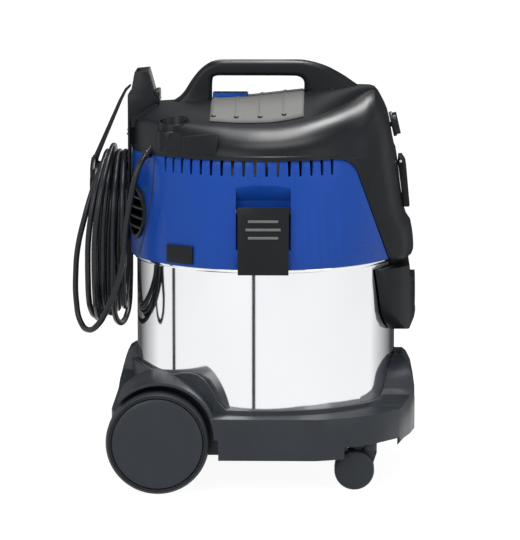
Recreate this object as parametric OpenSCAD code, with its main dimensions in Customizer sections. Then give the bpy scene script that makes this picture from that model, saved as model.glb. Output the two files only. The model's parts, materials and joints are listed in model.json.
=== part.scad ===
// Wet and dry drum vacuum: steel drum on a wheeled trolley, motor head with
// carrying handle, latches, rear cord hook and wound mains cord.
// +X is the front (hose side), +Z is up, the floor is Z = 0. Heights of the
// wheels are above the floor; those of the body are above a level of its own,
// which the wheels carry a little above the floor.

/* [Drum] */
// Outer radius of the steel drum
drum_r = 153; // [152.5:0.1:153.2]
// Sheet thickness of the drum
drum_wall = 1.2; // [0.8:0.1:1.6]
// Height of the drum floor above the body's level
drum_floor = 58; // [57.5:0.5:60]
// Height of the drum rim above the body's level
drum_top = 254; // [253.8:0.1:254]

/* [Trolley] */
// Height of the body's level above the floor
lift = 4.5; // [3:0.5:5]
// Underside of the trolley skirt
skirt_bottom = 36; // [32:1:40]
// Outer top edge of the skirt
skirt_top = 84; // [82:1:86]
// Rim of the tray beside the drum
tray_rim = 88.5; // [87:0.5:90]
// Rim of the tray behind the drum
rear_rim = 127; // [125:1:128]
// Wall thickness of the moulded tray
tray_wall = 4; // [3:0.5:5]

/* [Wheels] */
// Radius of the rear wheels
wheel_r = 59.5; // [58:0.5:60]
// Distance of the rear wheels behind the drum axis
wheel_back = 121; // [120:0.5:122]
// Inner face of a rear wheel from the centre plane
wheel_inner = 157; // [156.5:0.5:158]
// Outer face of a rear wheel from the centre plane
wheel_outer = 188; // [186:1:190]
// Radius of the caster wheels
caster_r = 23; // [21:1:23]
// Trail of the caster wheels behind their swivel axis
caster_trail = 17; // [14:1:18]
// Swivel axis of a caster in front of the drum axis
caster_x = 122; // [120:1:122]
// Swivel axis of a caster from the centre plane
caster_y = 140; // [138:1:141]
// Height under the trolley in which a caster swings round
caster_room = 50; // [49:1:52]

/* [Motor head] */
// Outer radius of the coloured band at its lower edge
band_r = 160; // [159.8:0.1:160.2]
// Lower edge of the band
band_bottom = 253; // [252.6:0.1:253]
// Top edge of the band and lower edge of the cover
band_top = 378; // [377:0.5:379]
// Number of air slots on each side
slot_count = 17; // [5:2:17]
// Width of an air slot at its top
slot_w = 4.2; // [3.4:0.1:4.4]
// Height of the handle bar's top
handle_top = 480; // [478:1:482]
// Thickness of the handle bar
handle_bar = 17; // [15:1:18]
// Width of the handle bar
handle_w = 32; // [28:1:34]

/* [Cord] */
// Diameter of the mains cord
cord_d = 7; // [6:0.5:7.5]

/* [Hose connection] */
// Radius of the suction bore
inlet_r = 19; // [17:0.5:20]
// Height of the suction bore
inlet_z = 205; // [204:1:206]

/* [Hidden] */
$fn = 96;

black = [0.16, 0.17, 0.19];
dark = [0.08, 0.08, 0.09];
blue = [0.05, 0.20, 0.62];
grey = [0.52, 0.52, 0.50];
steel = [0.80, 0.81, 0.83];

// The drum axis stands a little in front of the middle of the whole outline.
drum_x = 14;
gap = 0.3;
fit = 0.06;

module at_drum() translate([drum_x, 0, lift]) children();
module at_floor() translate([drum_x, 0, 0]) children();

module both_sides() {
  children();
  mirror([0, 1, 0]) children();
}

// side = 1 gives the right-hand part (-Y), side = -1 its mirror image.
module on_side(side) {
  if (side > 0) children();
  else mirror([0, 1, 0]) children();
}

module rod_y(x, z, y0, y1, r)
  translate([x, y0, z]) rotate([-90, 0, 0]) cylinder(h = y1 - y0, r = r);

module rod_x(y, z, x0, x1, r)
  translate([x0, y, z]) rotate([0, 90, 0]) cylinder(h = x1 - x0, r = r);

module block(from, to) translate(from) cube(to - from);

// A side view outline of [x, z] points between two values of Y.
module side_shape(points, y0, y1)
  translate([0, y1, 0]) rotate([90, 0, 0]) linear_extrude(y1 - y0) polygon(points);

// A front view outline of [y, z] points between two values of X.
module front_shape(points, x0, x1)
  translate([x0, 0, 0]) rotate([90, 0, 90]) linear_extrude(x1 - x0) polygon(points);

// A turned profile of [radius, z] points about the drum axis.
module turned(points) rotate_extrude() polygon(points);

// A turned profile of [radius, distance] points about an axis along Y.
module turned_y(x, z, points) translate([x, 0, z]) rotate([90, 0, 0]) turned(points);

function mirrored(half) =
  concat(half, [for (i = [len(half) - 1:-1:0]) [half[i][0], -half[i][1]]]);

function mirrored_y(half) =
  concat(half, [for (i = [len(half) - 1:-1:0]) [-half[i][0], half[i][1]]]);

// A closed solid through equal rings of points, the first and last ring capped.
// A ring that runs out along a wall and back along its other face is a strip.
module loft(rings, strip = false) {
  n = len(rings[0]);
  m = len(rings);
  sides = [
    for (j = [0:m - 2], i = [0:n - 1], half = [0, 1])
      let (a = j * n + i, b = j * n + (i + 1) % n)
        half == 0 ? [a, b, b + n] : [a, b + n, a + n]
  ];
  cap = strip ? [for (i = [0:n / 2 - 2]) [i, i + 1, n - 2 - i, n - 1 - i]] : [[for (i = [0:n - 1]) i]];
  caps = [
    for (face = cap) each [[for (i = [len(face) - 1:-1:0]) face[i]], [for (i = face) (m - 1) * n + i]]
  ];
  polyhedron([for (ring = rings) each ring], concat(sides, caps), convexity = 6);
}

// ---------------------------------------------------------------- trolley

// Plan of the trolley on one side, from the back to the front.
base_half = [
  [-177, 1], [-177, 120], [-171, 150], [-168, 178], [-58, 186], [60, 186],
  [77, 181], [99, 171], [124, 158], [157, 118], [171, 72], [177, 40], [177, 1]
];

module base_plan(inset = 0)
  polygon(mirrored([for (p = base_half) p * (1 - inset / norm(p))]));

// Raised walls that grip the drum at the front and the back.
module towers() {
  intersection() {
    translate([0, 0, 60]) linear_extrude(90) base_plan();
    side_shape([[118, 60], [118, 131.5], [163, 131.5], [168, 125], [173.5, 112], [176.5, 98],
                [177, 60]], -120, 120);
    front_shape(mirrored_y([[108, 60], [100, 86], [86, 88.5], [71, 92], [64.5, 98], [60, 107],
                            [54, 116], [48, 121.5], [40, 127], [30, 131.5]]), 100, 180);
  }
  intersection() {
    side_shape([[-140, 60], [-140, 140], [-156, 140], [-162, 136], [-166, 128], [-169, 117],
                [-171.5, 106], [-173, 92], [-175, 74], [-175.5, 60]], -90, 90);
    front_shape(mirrored_y([[90, 60], [70, 96], [46, 106], [26, 113], [22, 122], [20, 140]]),
                -180, -130);
  }
}

arch_x = -118.5;
arch_z = 59.5;
arch_r = 65.5;
arch_back = -166.5;

// Side outline of the rim behind the drum, with a hump over each wheel.
rear_outline = [
  [-177, 60], [-174, 94], [-168, rear_rim - 1], [-150, rear_rim], [-135, rear_rim - 2.5],
  [-112, rear_rim - 5], [-104, rear_rim - 3], [-95, rear_rim], [-86, rear_rim + 1.5],
  [-76, rear_rim], [-67, rear_rim - 6], [-59, 110], [-52, 97.5], [-44, 89.5], [-30, 80], [-30, 60]
];

// Round wheel arches that blend into the raised rim behind the drum.
module arches() {
  both_sides() intersection() {
    rod_y(arch_x, arch_z, -180, -84, arch_r);
    block([arch_back, -180, 0], [0, -84, 200]);
  }
  intersection() {
    cylinder(h = rear_rim + 10, r = drum_r + 7);
    side_shape(rear_outline, -170, 170);
  }
}

module wheel_wells() both_sides() {
  rod_y(arch_x, arch_z, -191, 4 - wheel_inner, arch_r - 3);
  block([-187, -191, 0], [-51, 4 - wheel_inner, arch_z]);
}

module hollow_below() difference() {
  union() {
    translate([0, 0, -1]) linear_extrude(drum_floor - tray_wall + 1) base_plan(tray_wall);
    difference() {
      translate([0, 0, -1]) linear_extrude(skirt_top - tray_wall + 1) base_plan(tray_wall);
      cylinder(h = 200, r = drum_r + tray_wall);
    }
  }
  both_sides() {
    translate([caster_x, -caster_y, 0]) cylinder(h = 120, r = 11);
    rod_y(-wheel_back, wheel_r - lift, -wheel_inner + tray_wall, -100, 15);
    block([-185, -191, 0], [-47, -wheel_inner + tray_wall + 4, 120]);
  }
  for (x = [-90, -30, 30, 90]) block([x - 1.5, -150, 0], [x + 1.5, 150, 120]);
}

module trolley_base() color(black) difference() {
  union() {
    translate([0, 0, skirt_bottom]) linear_extrude(skirt_top - skirt_bottom) base_plan();
    translate([0, 0, skirt_bottom]) cylinder(h = tray_rim - skirt_bottom, r = drum_r + 5);
    intersection() {
      union() {
        arches();
        towers();
      }
      block([-177, -200, skirt_bottom], [177, 200, 200]);
    }
  }
  translate([0, 0, drum_floor]) cylinder(h = 200, r = drum_r + gap);
  hollow_below();
  wheel_wells();
  both_sides() {
    translate([caster_x, -caster_y, -1]) cylinder(h = caster_room + 1, r = 44);
    translate([caster_x, -caster_y, 0]) cylinder(h = 78, r = 7.6);
    rod_y(-wheel_back, wheel_r - lift, -200, -112, 6 + fit);
  }
  tank_clamp_shape(gap);
  side_shape([[152, 0], [152, skirt_bottom], [158, skirt_bottom + 8], [163, skirt_bottom + 10],
              [180, skirt_bottom + 10.5], [180, 0]], -200, 200);
}

// Wedges that press on the drum inside the two towers.
module tank_clamp_shape(grow = 0) {
  block([drum_r + 0.2 - grow, -17 - grow, 118 - grow], [drum_r + 8 + grow, 17 + grow, 160]);
  block([-drum_r - 6 - grow, -17 - grow, 118 - grow], [-drum_r - 0.2 + grow, 17 + grow, 160]);
}

module tank_clamps() color(dark) intersection() {
  tank_clamp_shape();
  side_shape([[-160, 100], [160, 100], [159, 127], [156, 130], [150, 136], [-150, 136],
              [-152, 139], [-157, 139], [-160, 136]], -40, 40);
  difference() {
    cylinder(h = 200, r = 200);
    cylinder(h = 200, r = drum_r + gap);
  }
}

module wheel_axles() color(steel) both_sides() {
  rod_y(-wheel_back, wheel_r, -181, -113, 6);
  rod_y(-wheel_back, wheel_r, -wheel_inner + 0.4, -wheel_inner + 3.7, 12);
}

module axle_clips() color(steel) both_sides() difference() {
  rod_y(-wheel_back, wheel_r, -178.6, -177.2, 10);
  rod_y(-wheel_back, wheel_r, -185, -170, 6 + fit);
}

// Turned parts of a rear wheel; distances run outwards from the centre plane.
module wheel_rim(side) color(black) on_side(side) turned_y(-wheel_back, wheel_r, [
  [6 + fit, wheel_inner + 0.5], [14, wheel_inner + 0.5], [14, 168], [46, 168],
  [46, wheel_inner + 2], [50.5, wheel_inner + 2], [50.5, 184], [48, 186], [46, 186],
  [46, 172], [14, 172], [14, 176.8], [6 + fit, 176.8]
]);

module wheel_tyre(side) color(dark) on_side(side) turned_y(-wheel_back, wheel_r, [
  [50.6, wheel_inner], [56.5, wheel_inner], [wheel_r, wheel_inner + 3],
  [wheel_r, 180], [58, 184], [54.5, 187], [52.5, 187.2], [50.6, 185.5]
]);

module wheel_cap(side) color(black) on_side(side) turned_y(-wheel_back, wheel_r, [
  [0, 184.6], [45.2, 184.6], [45.2, 182.4], [45.9, 182.4], [45.9, 185.6],
  [43.5, 187], [0, wheel_outer]
]);

module caster_sockets() color(steel) both_sides() translate([caster_x, -caster_y, 0]) difference() {
  translate([0, 0, 50.6]) cylinder(h = 27, r = 7.5);
  translate([0, 0, 50]) cylinder(h = 26, r = 4.5 + fit);
}

fork_top = caster_room + lift - gap;
fork_low = 2 * caster_r - 1;

module caster_fork(side) color(black) on_side(side) {
  translate([caster_x, -caster_y, fork_low]) cylinder(h = 75 + lift - fork_low, r = 4.5);
  translate([caster_x, -caster_y, fork_low]) cylinder(h = fork_top - fork_low, r = 9);
  difference() {
    union() {
      rod_y(caster_x - caster_trail, caster_r, -caster_y - 3.5, -caster_y + 3.5, 21);
      side_shape([[caster_x - caster_trail, caster_r], [caster_x + 4, caster_r + 4],
                  [caster_x + 9, 42], [caster_x + 9, fork_top], [caster_x - 9, fork_top],
                  [caster_x - caster_trail - 4, 42.6]], -caster_y - 3.5, -caster_y + 3.5);
    }
    rod_y(caster_x - caster_trail, caster_r, -caster_y - 20, -caster_y + 20, 3 + fit);
    block([0, -200, -1], [200, 0, 4]);
  }
}

module caster_axle(side) color(steel) on_side(side)
  rod_y(caster_x - caster_trail, caster_r, -caster_y - 12, -caster_y + 12, 3);

module caster_wheels(side) color(dark) on_side(side) for (s = [-1, 1])
  translate([caster_x - caster_trail, -caster_y, caster_r]) rotate([90, 0, 0])
    scale([1, 1, s]) turned([
      [0, 12.2], [3 + fit, 12.2], [3 + fit, 4], [20, 4], [caster_r, 6], [caster_r, 12.5],
      [20, 14.5], [0, 14.8]
    ]);

// ---------------------------------------------------------------- drum

module drum() color(steel) difference() {
  turned([
    [0, drum_floor], [141, drum_floor], [147, drum_floor + 2.5], [151, drum_floor + 7],
    [drum_r, drum_floor + 13], [drum_r, drum_top - 6], [drum_r + 2.4, drum_top - 5.4],
    [drum_r + 3.5, drum_top - 3], [drum_r + 2.4, drum_top - 0.6], [drum_r, drum_top],
    [drum_r - drum_wall, drum_top - 1], [drum_r - drum_wall, drum_floor + 13.5],
    [149.8, drum_floor + 8], [146.3, drum_floor + 3.8], [141, drum_floor + drum_wall],
    [0, drum_floor + drum_wall]
  ]);
  rod_x(0, inlet_z, 100, 200, inlet_r + 6 + gap);
  for (p = inlet_screw_spots) rod_x(p[0], p[1], 100, 200, 2.3);
}

inlet_screw_spots = [for (y = [-36, 36], dz = [-22, 22]) [y, inlet_z + dz]];

module inlet_body(wall = 0) intersection() {
  translate([0, 0, 150]) linear_extrude(120) polygon(mirrored([
    [100, 1], [118, 90 - wall], [140, 82 - wall], [158, 66 - wall], [170 - wall, 46 - wall],
    [176 - wall, 26 - wall], [178 - wall, 1]
  ]));
  side_shape([
    [100, 242 - wall], [170 - wall, 242 - wall], [173 - wall, 215], [178 - wall, 186],
    [178 - wall, 181 + wall], [170, 167 + wall], [140, 167 + wall], [100, 176 + wall]
  ], -100, 100);
  front_shape(mirrored_y([
    [86 - wall, 243], [73 - wall, 190], [64 - wall, 177], [50 - wall, 167 + wall]
  ]), 90, 190);
}

module inlet_housing() color(black) difference() {
  union() {
    difference() {
      inlet_body();
      inlet_body(3);
    }
    rod_x(0, inlet_z, 128, 177, inlet_r + 6);
    intersection() {
      inlet_body();
      for (p = inlet_screw_spots) rod_x(p[0], p[1], 100, 172, 5);
    }
  }
  difference() {
    cylinder(h = 300, r = drum_r + 1.8);
    rod_x(0, inlet_z, 120, 177, inlet_r + 6);
  }
  rod_x(0, inlet_z, 100, 200, inlet_r);
  for (p = inlet_screw_spots) rod_x(p[0], p[1], 100, 165, 2 + fit);
}

module inlet_gasket() color(dark) intersection() {
  difference() {
    cylinder(h = 300, r = drum_r + 1.7);
    cylinder(h = 300, r = drum_r + 0.1);
  }
  difference() {
    rod_x(0, inlet_z, 100, 200, inlet_r + 14);
    rod_x(0, inlet_z, 90, 210, inlet_r + 6 + gap);
  }
}

// A blind elbow that turns the incoming air along the drum wall.
module inlet_deflector() color(black) difference() {
  rod_x(0, inlet_z, 108, 140, inlet_r + 9);
  rod_x(0, inlet_z, 111, 141, inlet_r + 6 + fit);
  block([100, 8, inlet_z - 15], [127, 60, inlet_z + 15]);
}

module inlet_screws() color(steel) for (p = inlet_screw_spots) {
  rod_x(p[0], p[1], 145.9, 164, 2);
  rod_x(p[0], p[1], 142.6, 146, 4);
}

// ---------------------------------------------------------------- head shells

module head_base() color(black) difference() {
  turned([
    [46, 258], [150, 258], [150, drum_top + 2.8], [156.6, drum_top + 2.8], [156.6, 272],
    [153.6, 272], [153.6, 262], [46, 262]
  ]);
  cage_screw_holes();
}

// The filter cage, the base plate and the fan housing share three screws.
cage_screw_r = 54;
screw_r = 1.8;
screw_length = 14;
screw_head = 3.2;

module at_cage_screws() for (a = [60, 180, 300]) rotate(a) translate([cage_screw_r, 0, 0]) children();

module cage_screw_holes() at_cage_screws() {
  translate([0, 0, 240]) cylinder(h = 40, r = screw_r + gap);
  translate([0, 0, 240]) cylinder(h = 14.1, r = 4.4);
}

module head_gasket() color(dark) turned([
  [150, drum_top + 0.1], [156, drum_top + 0.1], [156, drum_top + 2.7], [150, drum_top + 2.7]
]);

port_z = 306;
port_r = 30.7;
pin_half = 36.8;

module at_port() rotate(-161) children();

// The radius of the band narrows a little towards its top.
function band_at(z) = band_r - 2 * (z - band_bottom) / (band_top - band_bottom);

recess_half = 31.5;
recess_top = 350;
recess_floor = 143.5;
latch_half = 29;
latch_pivot = [-150, 318];
latch_pin_r = 2.4;

corner_r = 18;
corner_heights = [360, 364, 368, 371, 374, 376, 377.8];

// The panel's rear edge leans back towards the top, where it rounds the corner of the band.
function panel_lean(z) = 143.7 - 0.345 * (z - 256);
function panel_back(z) =
  let (up = max(0, z - band_top + corner_r)) panel_lean(z) - corner_r + sqrt(corner_r * corner_r - up * up);

// Everything in front of the sloping edge of the band.
module front_zone() side_shape(concat(
  [for (z = concat([240], corner_heights)) [panel_back(z) - gap, z]],
  [[panel_back(band_top - 0.1) - gap, 380], [200, 380], [200, 240]]
), -170, 170);

module air_slots() both_sides() for (i = [0:slot_count - 1])
  rotate(-136 + i * 75.8 / (slot_count - 1))
    front_shape([[-slot_w / 3, band_top - 18], [slot_w / 3, band_top - 18],
                 [slot_w / 2, band_top + 1], [-slot_w / 2, band_top + 1]], 146, 170);

// A pocket whose top slopes in behind the head of the latch.
module latch_recess(grow = 0) front_shape([
  [-170, 275 - grow], [grow - recess_floor, 275 - grow], [grow - recess_floor, 331 + grow / 2],
  [-158, recess_top + 2 * grow], [-170, recess_top + 2 * grow]
], -recess_half - grow, recess_half + grow);

module side_band() color(blue) difference() {
  union() {
    turned([
      [157.1, band_bottom], [band_r, band_bottom], [band_at(band_top - 4), band_top - 4],
      [band_at(band_top) - 1.5, band_top], [149, band_top], [149, band_top - 3],
      [154.6, band_top - 3]
    ]);
    intersection() {
      both_sides() latch_recess(2.5);
      cylinder(h = 500, r = 157.6);
    }
  }
  both_sides() {
    latch_recess();
    block([-recess_half, -170, 240], [recess_half, -156.8, 280]);
    rod_x(latch_pivot[0], latch_pivot[1], -pin_half - gap, pin_half + gap, latch_pin_r + fit);
  }
  at_port() rod_x(0, port_z, 148, 170, port_r + gap);
  front_zone();
  air_slots();
  gland_hole(6.4);
}

// Side outline of the front: x of the front face at each height.
front_face = [
  [243, 156], [250, 171], [259, 174], [288, 171], [300, 164], [310, 162], [368, 153.6], [378, 152]
];

// Plan of one side of the front panel at height z, drawn in by wall.
function panel_half(z, wall) =
  let (
    lean = panel_lean(z), back = panel_back(z),
    side = sqrt(pow(159.2, 2) - lean * lean) - wall,
    face = lookup(z, front_face) - wall
  )
  [[back, sqrt(pow(159.2, 2) - back * back) - wall], [lean + 2, side - 0.9],
   [(lean + 2 * face) / 3, side * 0.80], [face - 3, side * 0.48], [face, side * 0.30]];

panel_wall = 3;
panel_heights = concat([246, 250, 259, 288, 300, 330], corner_heights);

// The whole wall at height z: its outside, then back along its inside.
function panel_ring(z) =
  let (inside = mirrored(panel_half(z, panel_wall)))
  [for (p = concat(mirrored(panel_half(z, 0)), [for (i = [len(inside) - 1:-1:0]) inside[i]]))
    [p[0], p[1], z]];

flap_pivot = [159, 363.4];
flap_pin_r = 1.5;
socket_z = 338;

// Ears that hold the pin of the socket flap.
module flap_ears() both_sides()
  side_shape([[152.5, 367], [160, 367], [162.4, 364.6], [162.4, 362], [160, 359.8], [153.6, 359.8]],
             27.4, 31);

module front_panel() color(black) difference() {
  union() {
    loft([for (z = panel_heights) panel_ring(z)], strip = true);
    flap_ears();
  }
  rod_x(0, socket_z, 120, 200, 22);
  rod_y(flap_pivot[0], flap_pivot[1], -40, 40, flap_pin_r + fit);
}

// Half width of the cover at its lower edge.
cover_r = 157.5;
function cover_half(x) = sqrt(cover_r * cover_r - x * x);

// Height of the nose of the cover at its front end.
nose = [[126, 450.5], [131, 446], [135.4, 438.5], [143.5, 421], [149.6, 390], [152, 379]];

// Height of the crease between the crown and the shoulders at each x.
crest_heights = [
  [-155, 411], [-128, 415.4], [-114, 415.4], [-89, 414.4], [-59, 413.2], [-27, 411.8], [3, 412],
  [27, 414.5], [52, 419.5], [76.5, 426], [89, 430.5], [101.6, 436.5], [111.6, 441.8], [126, 447]
];

// Distance of the crease from the centre plane as a share of the cover's half width.
crest_share = [
  [-155, 0.68], [3, 0.665], [27, 0.635], [52, 0.58], [76.5, 0.472], [89, 0.395], [101.6, 0.3],
  [111.6, 0.21], [126, 0.12]
];

function crown_z(x) =
  let (z = min(nose[0][1], 435.7 + (x + 16) * (x > -16 ? 0.118 : 0.043)))
  x > 126 ? min(z, lookup(x, nose)) : z - max(0, -128 - x) * 0.6;

function crest_z(x) = min(lookup(x, crest_heights), crown_z(x) - 1);

function crest_y(x) = lookup(x, crest_share) * cover_half(x);

// The crown is an arch that flattens towards the front, under the foot of the handle.
function crown_rise(x, t) = 1 - pow(abs(t), 2 + max(0, x - 50) / 20);

// Cross-section of the cover: bulged shoulders and a crowned top.
function cover_ring(x, wall) =
  let (
    w = cover_half(x) - wall, c = crest_y(x) * (1 - wall * 0.01),
    zc = crest_z(x) - wall, zt = crown_z(x) - wall,
    shoulder = [for (a = [0:22.5:90]) [c + (w - c) * cos(a), band_top + (zc - band_top) * sin(a)]],
    top = [for (t = [0.67, 0.33]) [c * t, zc + (zt - zc) * crown_rise(x, t)]],
    half = concat(wall > 0 ? [[w, band_top - 2]] : [], shoulder, top)
  )
  [for (p = concat([for (p = half) [-p[0], p[1]]], [[0, zt]], [for (i = [len(half) - 1:-1:0]) half[i]]))
    [x, p[0], p[1]]];

pad_back = -63.5;
pad_front = 45.5;
cover_stations = [
  -155.5, -149, -140, -128, -95, pad_back, -36, -9, 18, pad_front, 75, 100, 118,
  126, 131, 135.4, 143.5, 149
];

module cover_outer() loft([for (x = cover_stations) cover_ring(x, 0)]);
module cover_inner() loft([
  for (x = cover_stations) if (abs(x) < 144) cover_ring(x, 3.2)
]);

knob_tilt = 13;
module knob_frame() translate([146.5, 0, 403.5]) rotate([0, 90 - knob_tilt, 0]) children();

holder_x = -105;
holder_y = 86;
holder_r = 17.5;
holder_wall = 1.5;
holder_top = 416.5;

module top_cover() color(black) difference() {
  union() {
    difference() {
      cover_outer();
      cover_inner();
    }
    translate([button_x, 0, cup_floor - 1.6]) cylinder(h = cup_top - cup_floor + 4, r = 12);
  }
  both_sides() translate([holder_x, -holder_y, 370]) cylinder(h = 80, r = holder_r + fit);
  knob_frame() translate([0, 0, -30]) cylinder(h = 60, r = 4);
  translate([button_x, 0, 380]) cylinder(h = 80, r = stem_r + fit);
  translate([button_x, 0, cup_floor]) cylinder(h = cup_top - cup_floor, r = 9.5);
  for (x = handle_screw_x) translate([x, 0, 410]) cylinder(h = 60, r = screw_r + gap);
  for (y = bracket_screw_y) rod_x(y, bracket_screw_z, -170, -120, 2.2);
  gland_hole(6.4);
}

// Height of the crown at any point between the crests.
function crown_at(x, y) =
  crest_z(x) + (crown_z(x) - crest_z(x)) * crown_rise(x, y / crest_y(x));

pad_share = 0.89;
pad_inner = 10.6;
pad_thick = 2.4;
pad_lift = 0.6;

// Cross-section of one half of the mat, which follows the crown.
function pad_ring(x) =
  let (c = crest_y(x), edge = pad_share * c, ys = [pad_inner, 0.33 * c, 0.67 * c, edge])
  [for (up = [0, 1], y = up == 0 ? ys : [for (i = [3:-1:0]) ys[i]])
    [x, y, crown_at(x, y) + pad_lift + (up == 0 ? 0 : pad_thick - (y == edge ? 1.2 : 0))]];

// Grey mat on the crown, in two halves beside the handle and the button.
module top_pad() color(grey) both_sides()
  loft([for (x = cover_stations) if (x >= pad_back && x <= pad_front) pad_ring(x)]);

bar_back = -62;
bar_front = 43;
handle_under = handle_top - handle_bar;

module carry_handle() color(black) difference() {
  side_shape(concat(
    [[-110, crown_z(-110) + gap], [-107.5, crown_z(-110) + 1], [-98, 440], [-89.7, 455.5],
     [-81.4, 466.5], [-72, 474], [bar_back, handle_top - 1], [bar_back + 8, handle_top]],
    [[bar_front, handle_top], [60, handle_top - 3], [75.6, 471.4], [93, 461.5],
     [108.7, crown_z(109) + gap], [46, crown_z(46) + gap]],
    [for (a = [0:22.5:90]) [38 + 8 * cos(a), handle_under - 8 + 8 * sin(a)]],
    [for (a = [90:22.5:180]) [-55.5 + 8 * cos(a), handle_under - 8 + 8 * sin(a)]],
    [[-63.5, crown_z(-63.5) + gap]]
  ), -handle_w / 2, handle_w / 2);
  for (x = handle_screw_x)
    translate([x, 0, crown_z(x) - 20]) cylinder(h = 17 + screw_length, r = screw_r + fit);
}

handle_screw_x = [-92, -76, 60, 84];

// Seven like screws: four hold the handle, three the filter cage.
module housing_screws() color(steel) {
  for (x = handle_screw_x) translate([x, 0, crown_z(x) - 3.9]) housing_screw();
  at_cage_screws() translate([0, 0, 254]) housing_screw();
}

module housing_screw() {
  cylinder(h = screw_length, r = screw_r);
  translate([0, 0, -screw_head]) cylinder(h = screw_head + 0.1, r = 3.6);
}

button_x = -43;
button_back = -62.5;
button_front = -21;
button_half = 10;
button_top = 441.5;
stem_r = 4;
collar_z = 428.2;

// The cup under the cover that guides the button and carries its spring.
cup_floor = 405.6;
cup_top = 430.9;

module clean_button() color(blue) {
  block([button_back, -button_half, button_top - 2], [button_front, button_half, button_top]);
  translate([button_x, 0, 400]) cylinder(h = button_top - 401, r = stem_r);
  translate([button_x, 0, collar_z]) cylinder(h = 2.4, r = 9);
}

spring_r = 6.6;
spring_wire = 1.4;
spring_steps = 40;

// Return spring of the filter cleaning button, between the cup and the collar.
module clean_spring() color(steel) tube_along([
  let (low = cup_floor + spring_wire / 2 + 0.1, high = collar_z - spring_wire / 2 - 0.1)
  for (i = [0:spring_steps])
    [button_x + spring_r * cos(i * 36), spring_r * sin(i * 36), low + (high - low) * i / spring_steps]
], spring_wire, 8);

// ---------------------------------------------------------------- head fittings

module latch_pins() color(steel) both_sides()
  rod_x(latch_pivot[0], latch_pivot[1], -pin_half, pin_half, latch_pin_r);

latch_face = -167.5;

// A lever with two side cheeks that run back to the pin, and a lip below.
module latch(side) color(black) on_side(side) difference() {
  union() {
    block([-latch_half, latch_face, 256], [latch_half, latch_face + 4, 326]);
    block([-latch_half, latch_face, 248], [latch_half, -157.2, 256]);
    for (x = [-latch_half, latch_half - 3])
      front_shape([[latch_face + 3, 256], [-158.4, 256], [-158.4, 284], [-146, 313.6],
                   [-145.5, 322], [latch_face + 3, 322]], x, x + 3);
    rod_x(latch_pivot[0], latch_pivot[1], -latch_half, latch_half, 4.6);
    for (z = [291, 300.5, 310])
      block([-17, latch_face - 1.1, z - 1.5], [17, latch_face + 0.1, z + 1.5]);
  }
  rod_x(latch_pivot[0], latch_pivot[1], -60, 60, latch_pin_r + fit);
}

module band_clips() color(dark) both_sides() rotate(-127) intersection() {
  difference() {
    cylinder(h = 400, r = 163.5);
    cylinder(h = 400, r = 160.1);
  }
  block([150, -19, 256], [170, 19, 277]);
}

module tube_holders() color(black) both_sides() translate([holder_x, -holder_y, 0]) difference() {
  translate([0, 0, band_top + 1]) cylinder(h = holder_top - band_top - 1, r = holder_r);
  translate([0, 0, band_top + 4]) cylinder(h = 60, r = holder_r - holder_wall);
  translate([0, 0, 370]) cylinder(h = 30, r = 6);
}

rib_pitch = 11.6;

// Grille over the air outlet.
module blower_port() color(dark) at_port() difference() {
  intersection() {
    rod_x(0, port_z, 152, 165, port_r);
    cylinder(h = 400, r = 162.5);
  }
  intersection() {
    rod_x(0, port_z, 140, 180, port_r - 3.5);
    for (i = [-2:1:2])
      block([140, -40, port_z + i * rib_pitch - rib_pitch / 2 + 1.1],
            [180, 40, port_z + i * rib_pitch + rib_pitch / 2 - 1.1]);
  }
  cylinder(h = 400, r = 154.7);
}

module switch_body() color(dark) difference() {
  knob_frame() translate([-13, -14, -27]) cube([26, 28, 20]);
  knob_frame() translate([0, 0, -25]) cylinder(h = 40, r = 3 + fit);
}

module switch_knob() color(dark) knob_frame() difference() {
  union() {
    translate([0, 0, 1.6]) cylinder(h = 4, r = 14.8);
    translate([0, 0, 5]) cylinder(h = 4, r = 11);
    translate([-13, -2.6, 5]) cube([26, 5.2, 5.5]);
    translate([0, 0, -24]) cylinder(h = 27, r = 3);
  }
  translate([9, -1, 9.6]) cube([5, 2, 3]);
}

module socket_body() color(dark) difference() {
  union() {
    rod_x(0, socket_z, 126, 154, 21.6);
    block([126, -24, socket_z - 24], [130, 24, socket_z + 24]);
  }
  rod_x(0, socket_z, 142, 170, 19.5);
  for (y = [-9.5, 9.5]) rod_x(y, socket_z, 130, 150, 2.4);
}

module flap_pin() color(steel) rod_y(flap_pivot[0], flap_pivot[1], -30.8, 30.8, flap_pin_r);

// Hinged lid over the power socket.
module socket_flap() color(black) difference() {
  side_shape([[157, 366.4], [161.2, 366.8], [165.4, 360.5], [170, 311], [169, 309],
              [163, 309], [162.6, 311], [156.4, 357]], -27, 27);
  side_shape([[150, 355], [161, 355], [165, 316], [150, 316]], -23.5, 23.5);
  rod_y(flap_pivot[0], flap_pivot[1], -40, 40, flap_pin_r + fit);
}

// ---------------------------------------------------------------- cord hook

saddle_z = 299;
saddle_r = 60;
arm_end = -206;
bracket_screw_y = [-18, 18];
bracket_screw_z = 396;
strap_pivot = [-203.2, 352];

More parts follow.
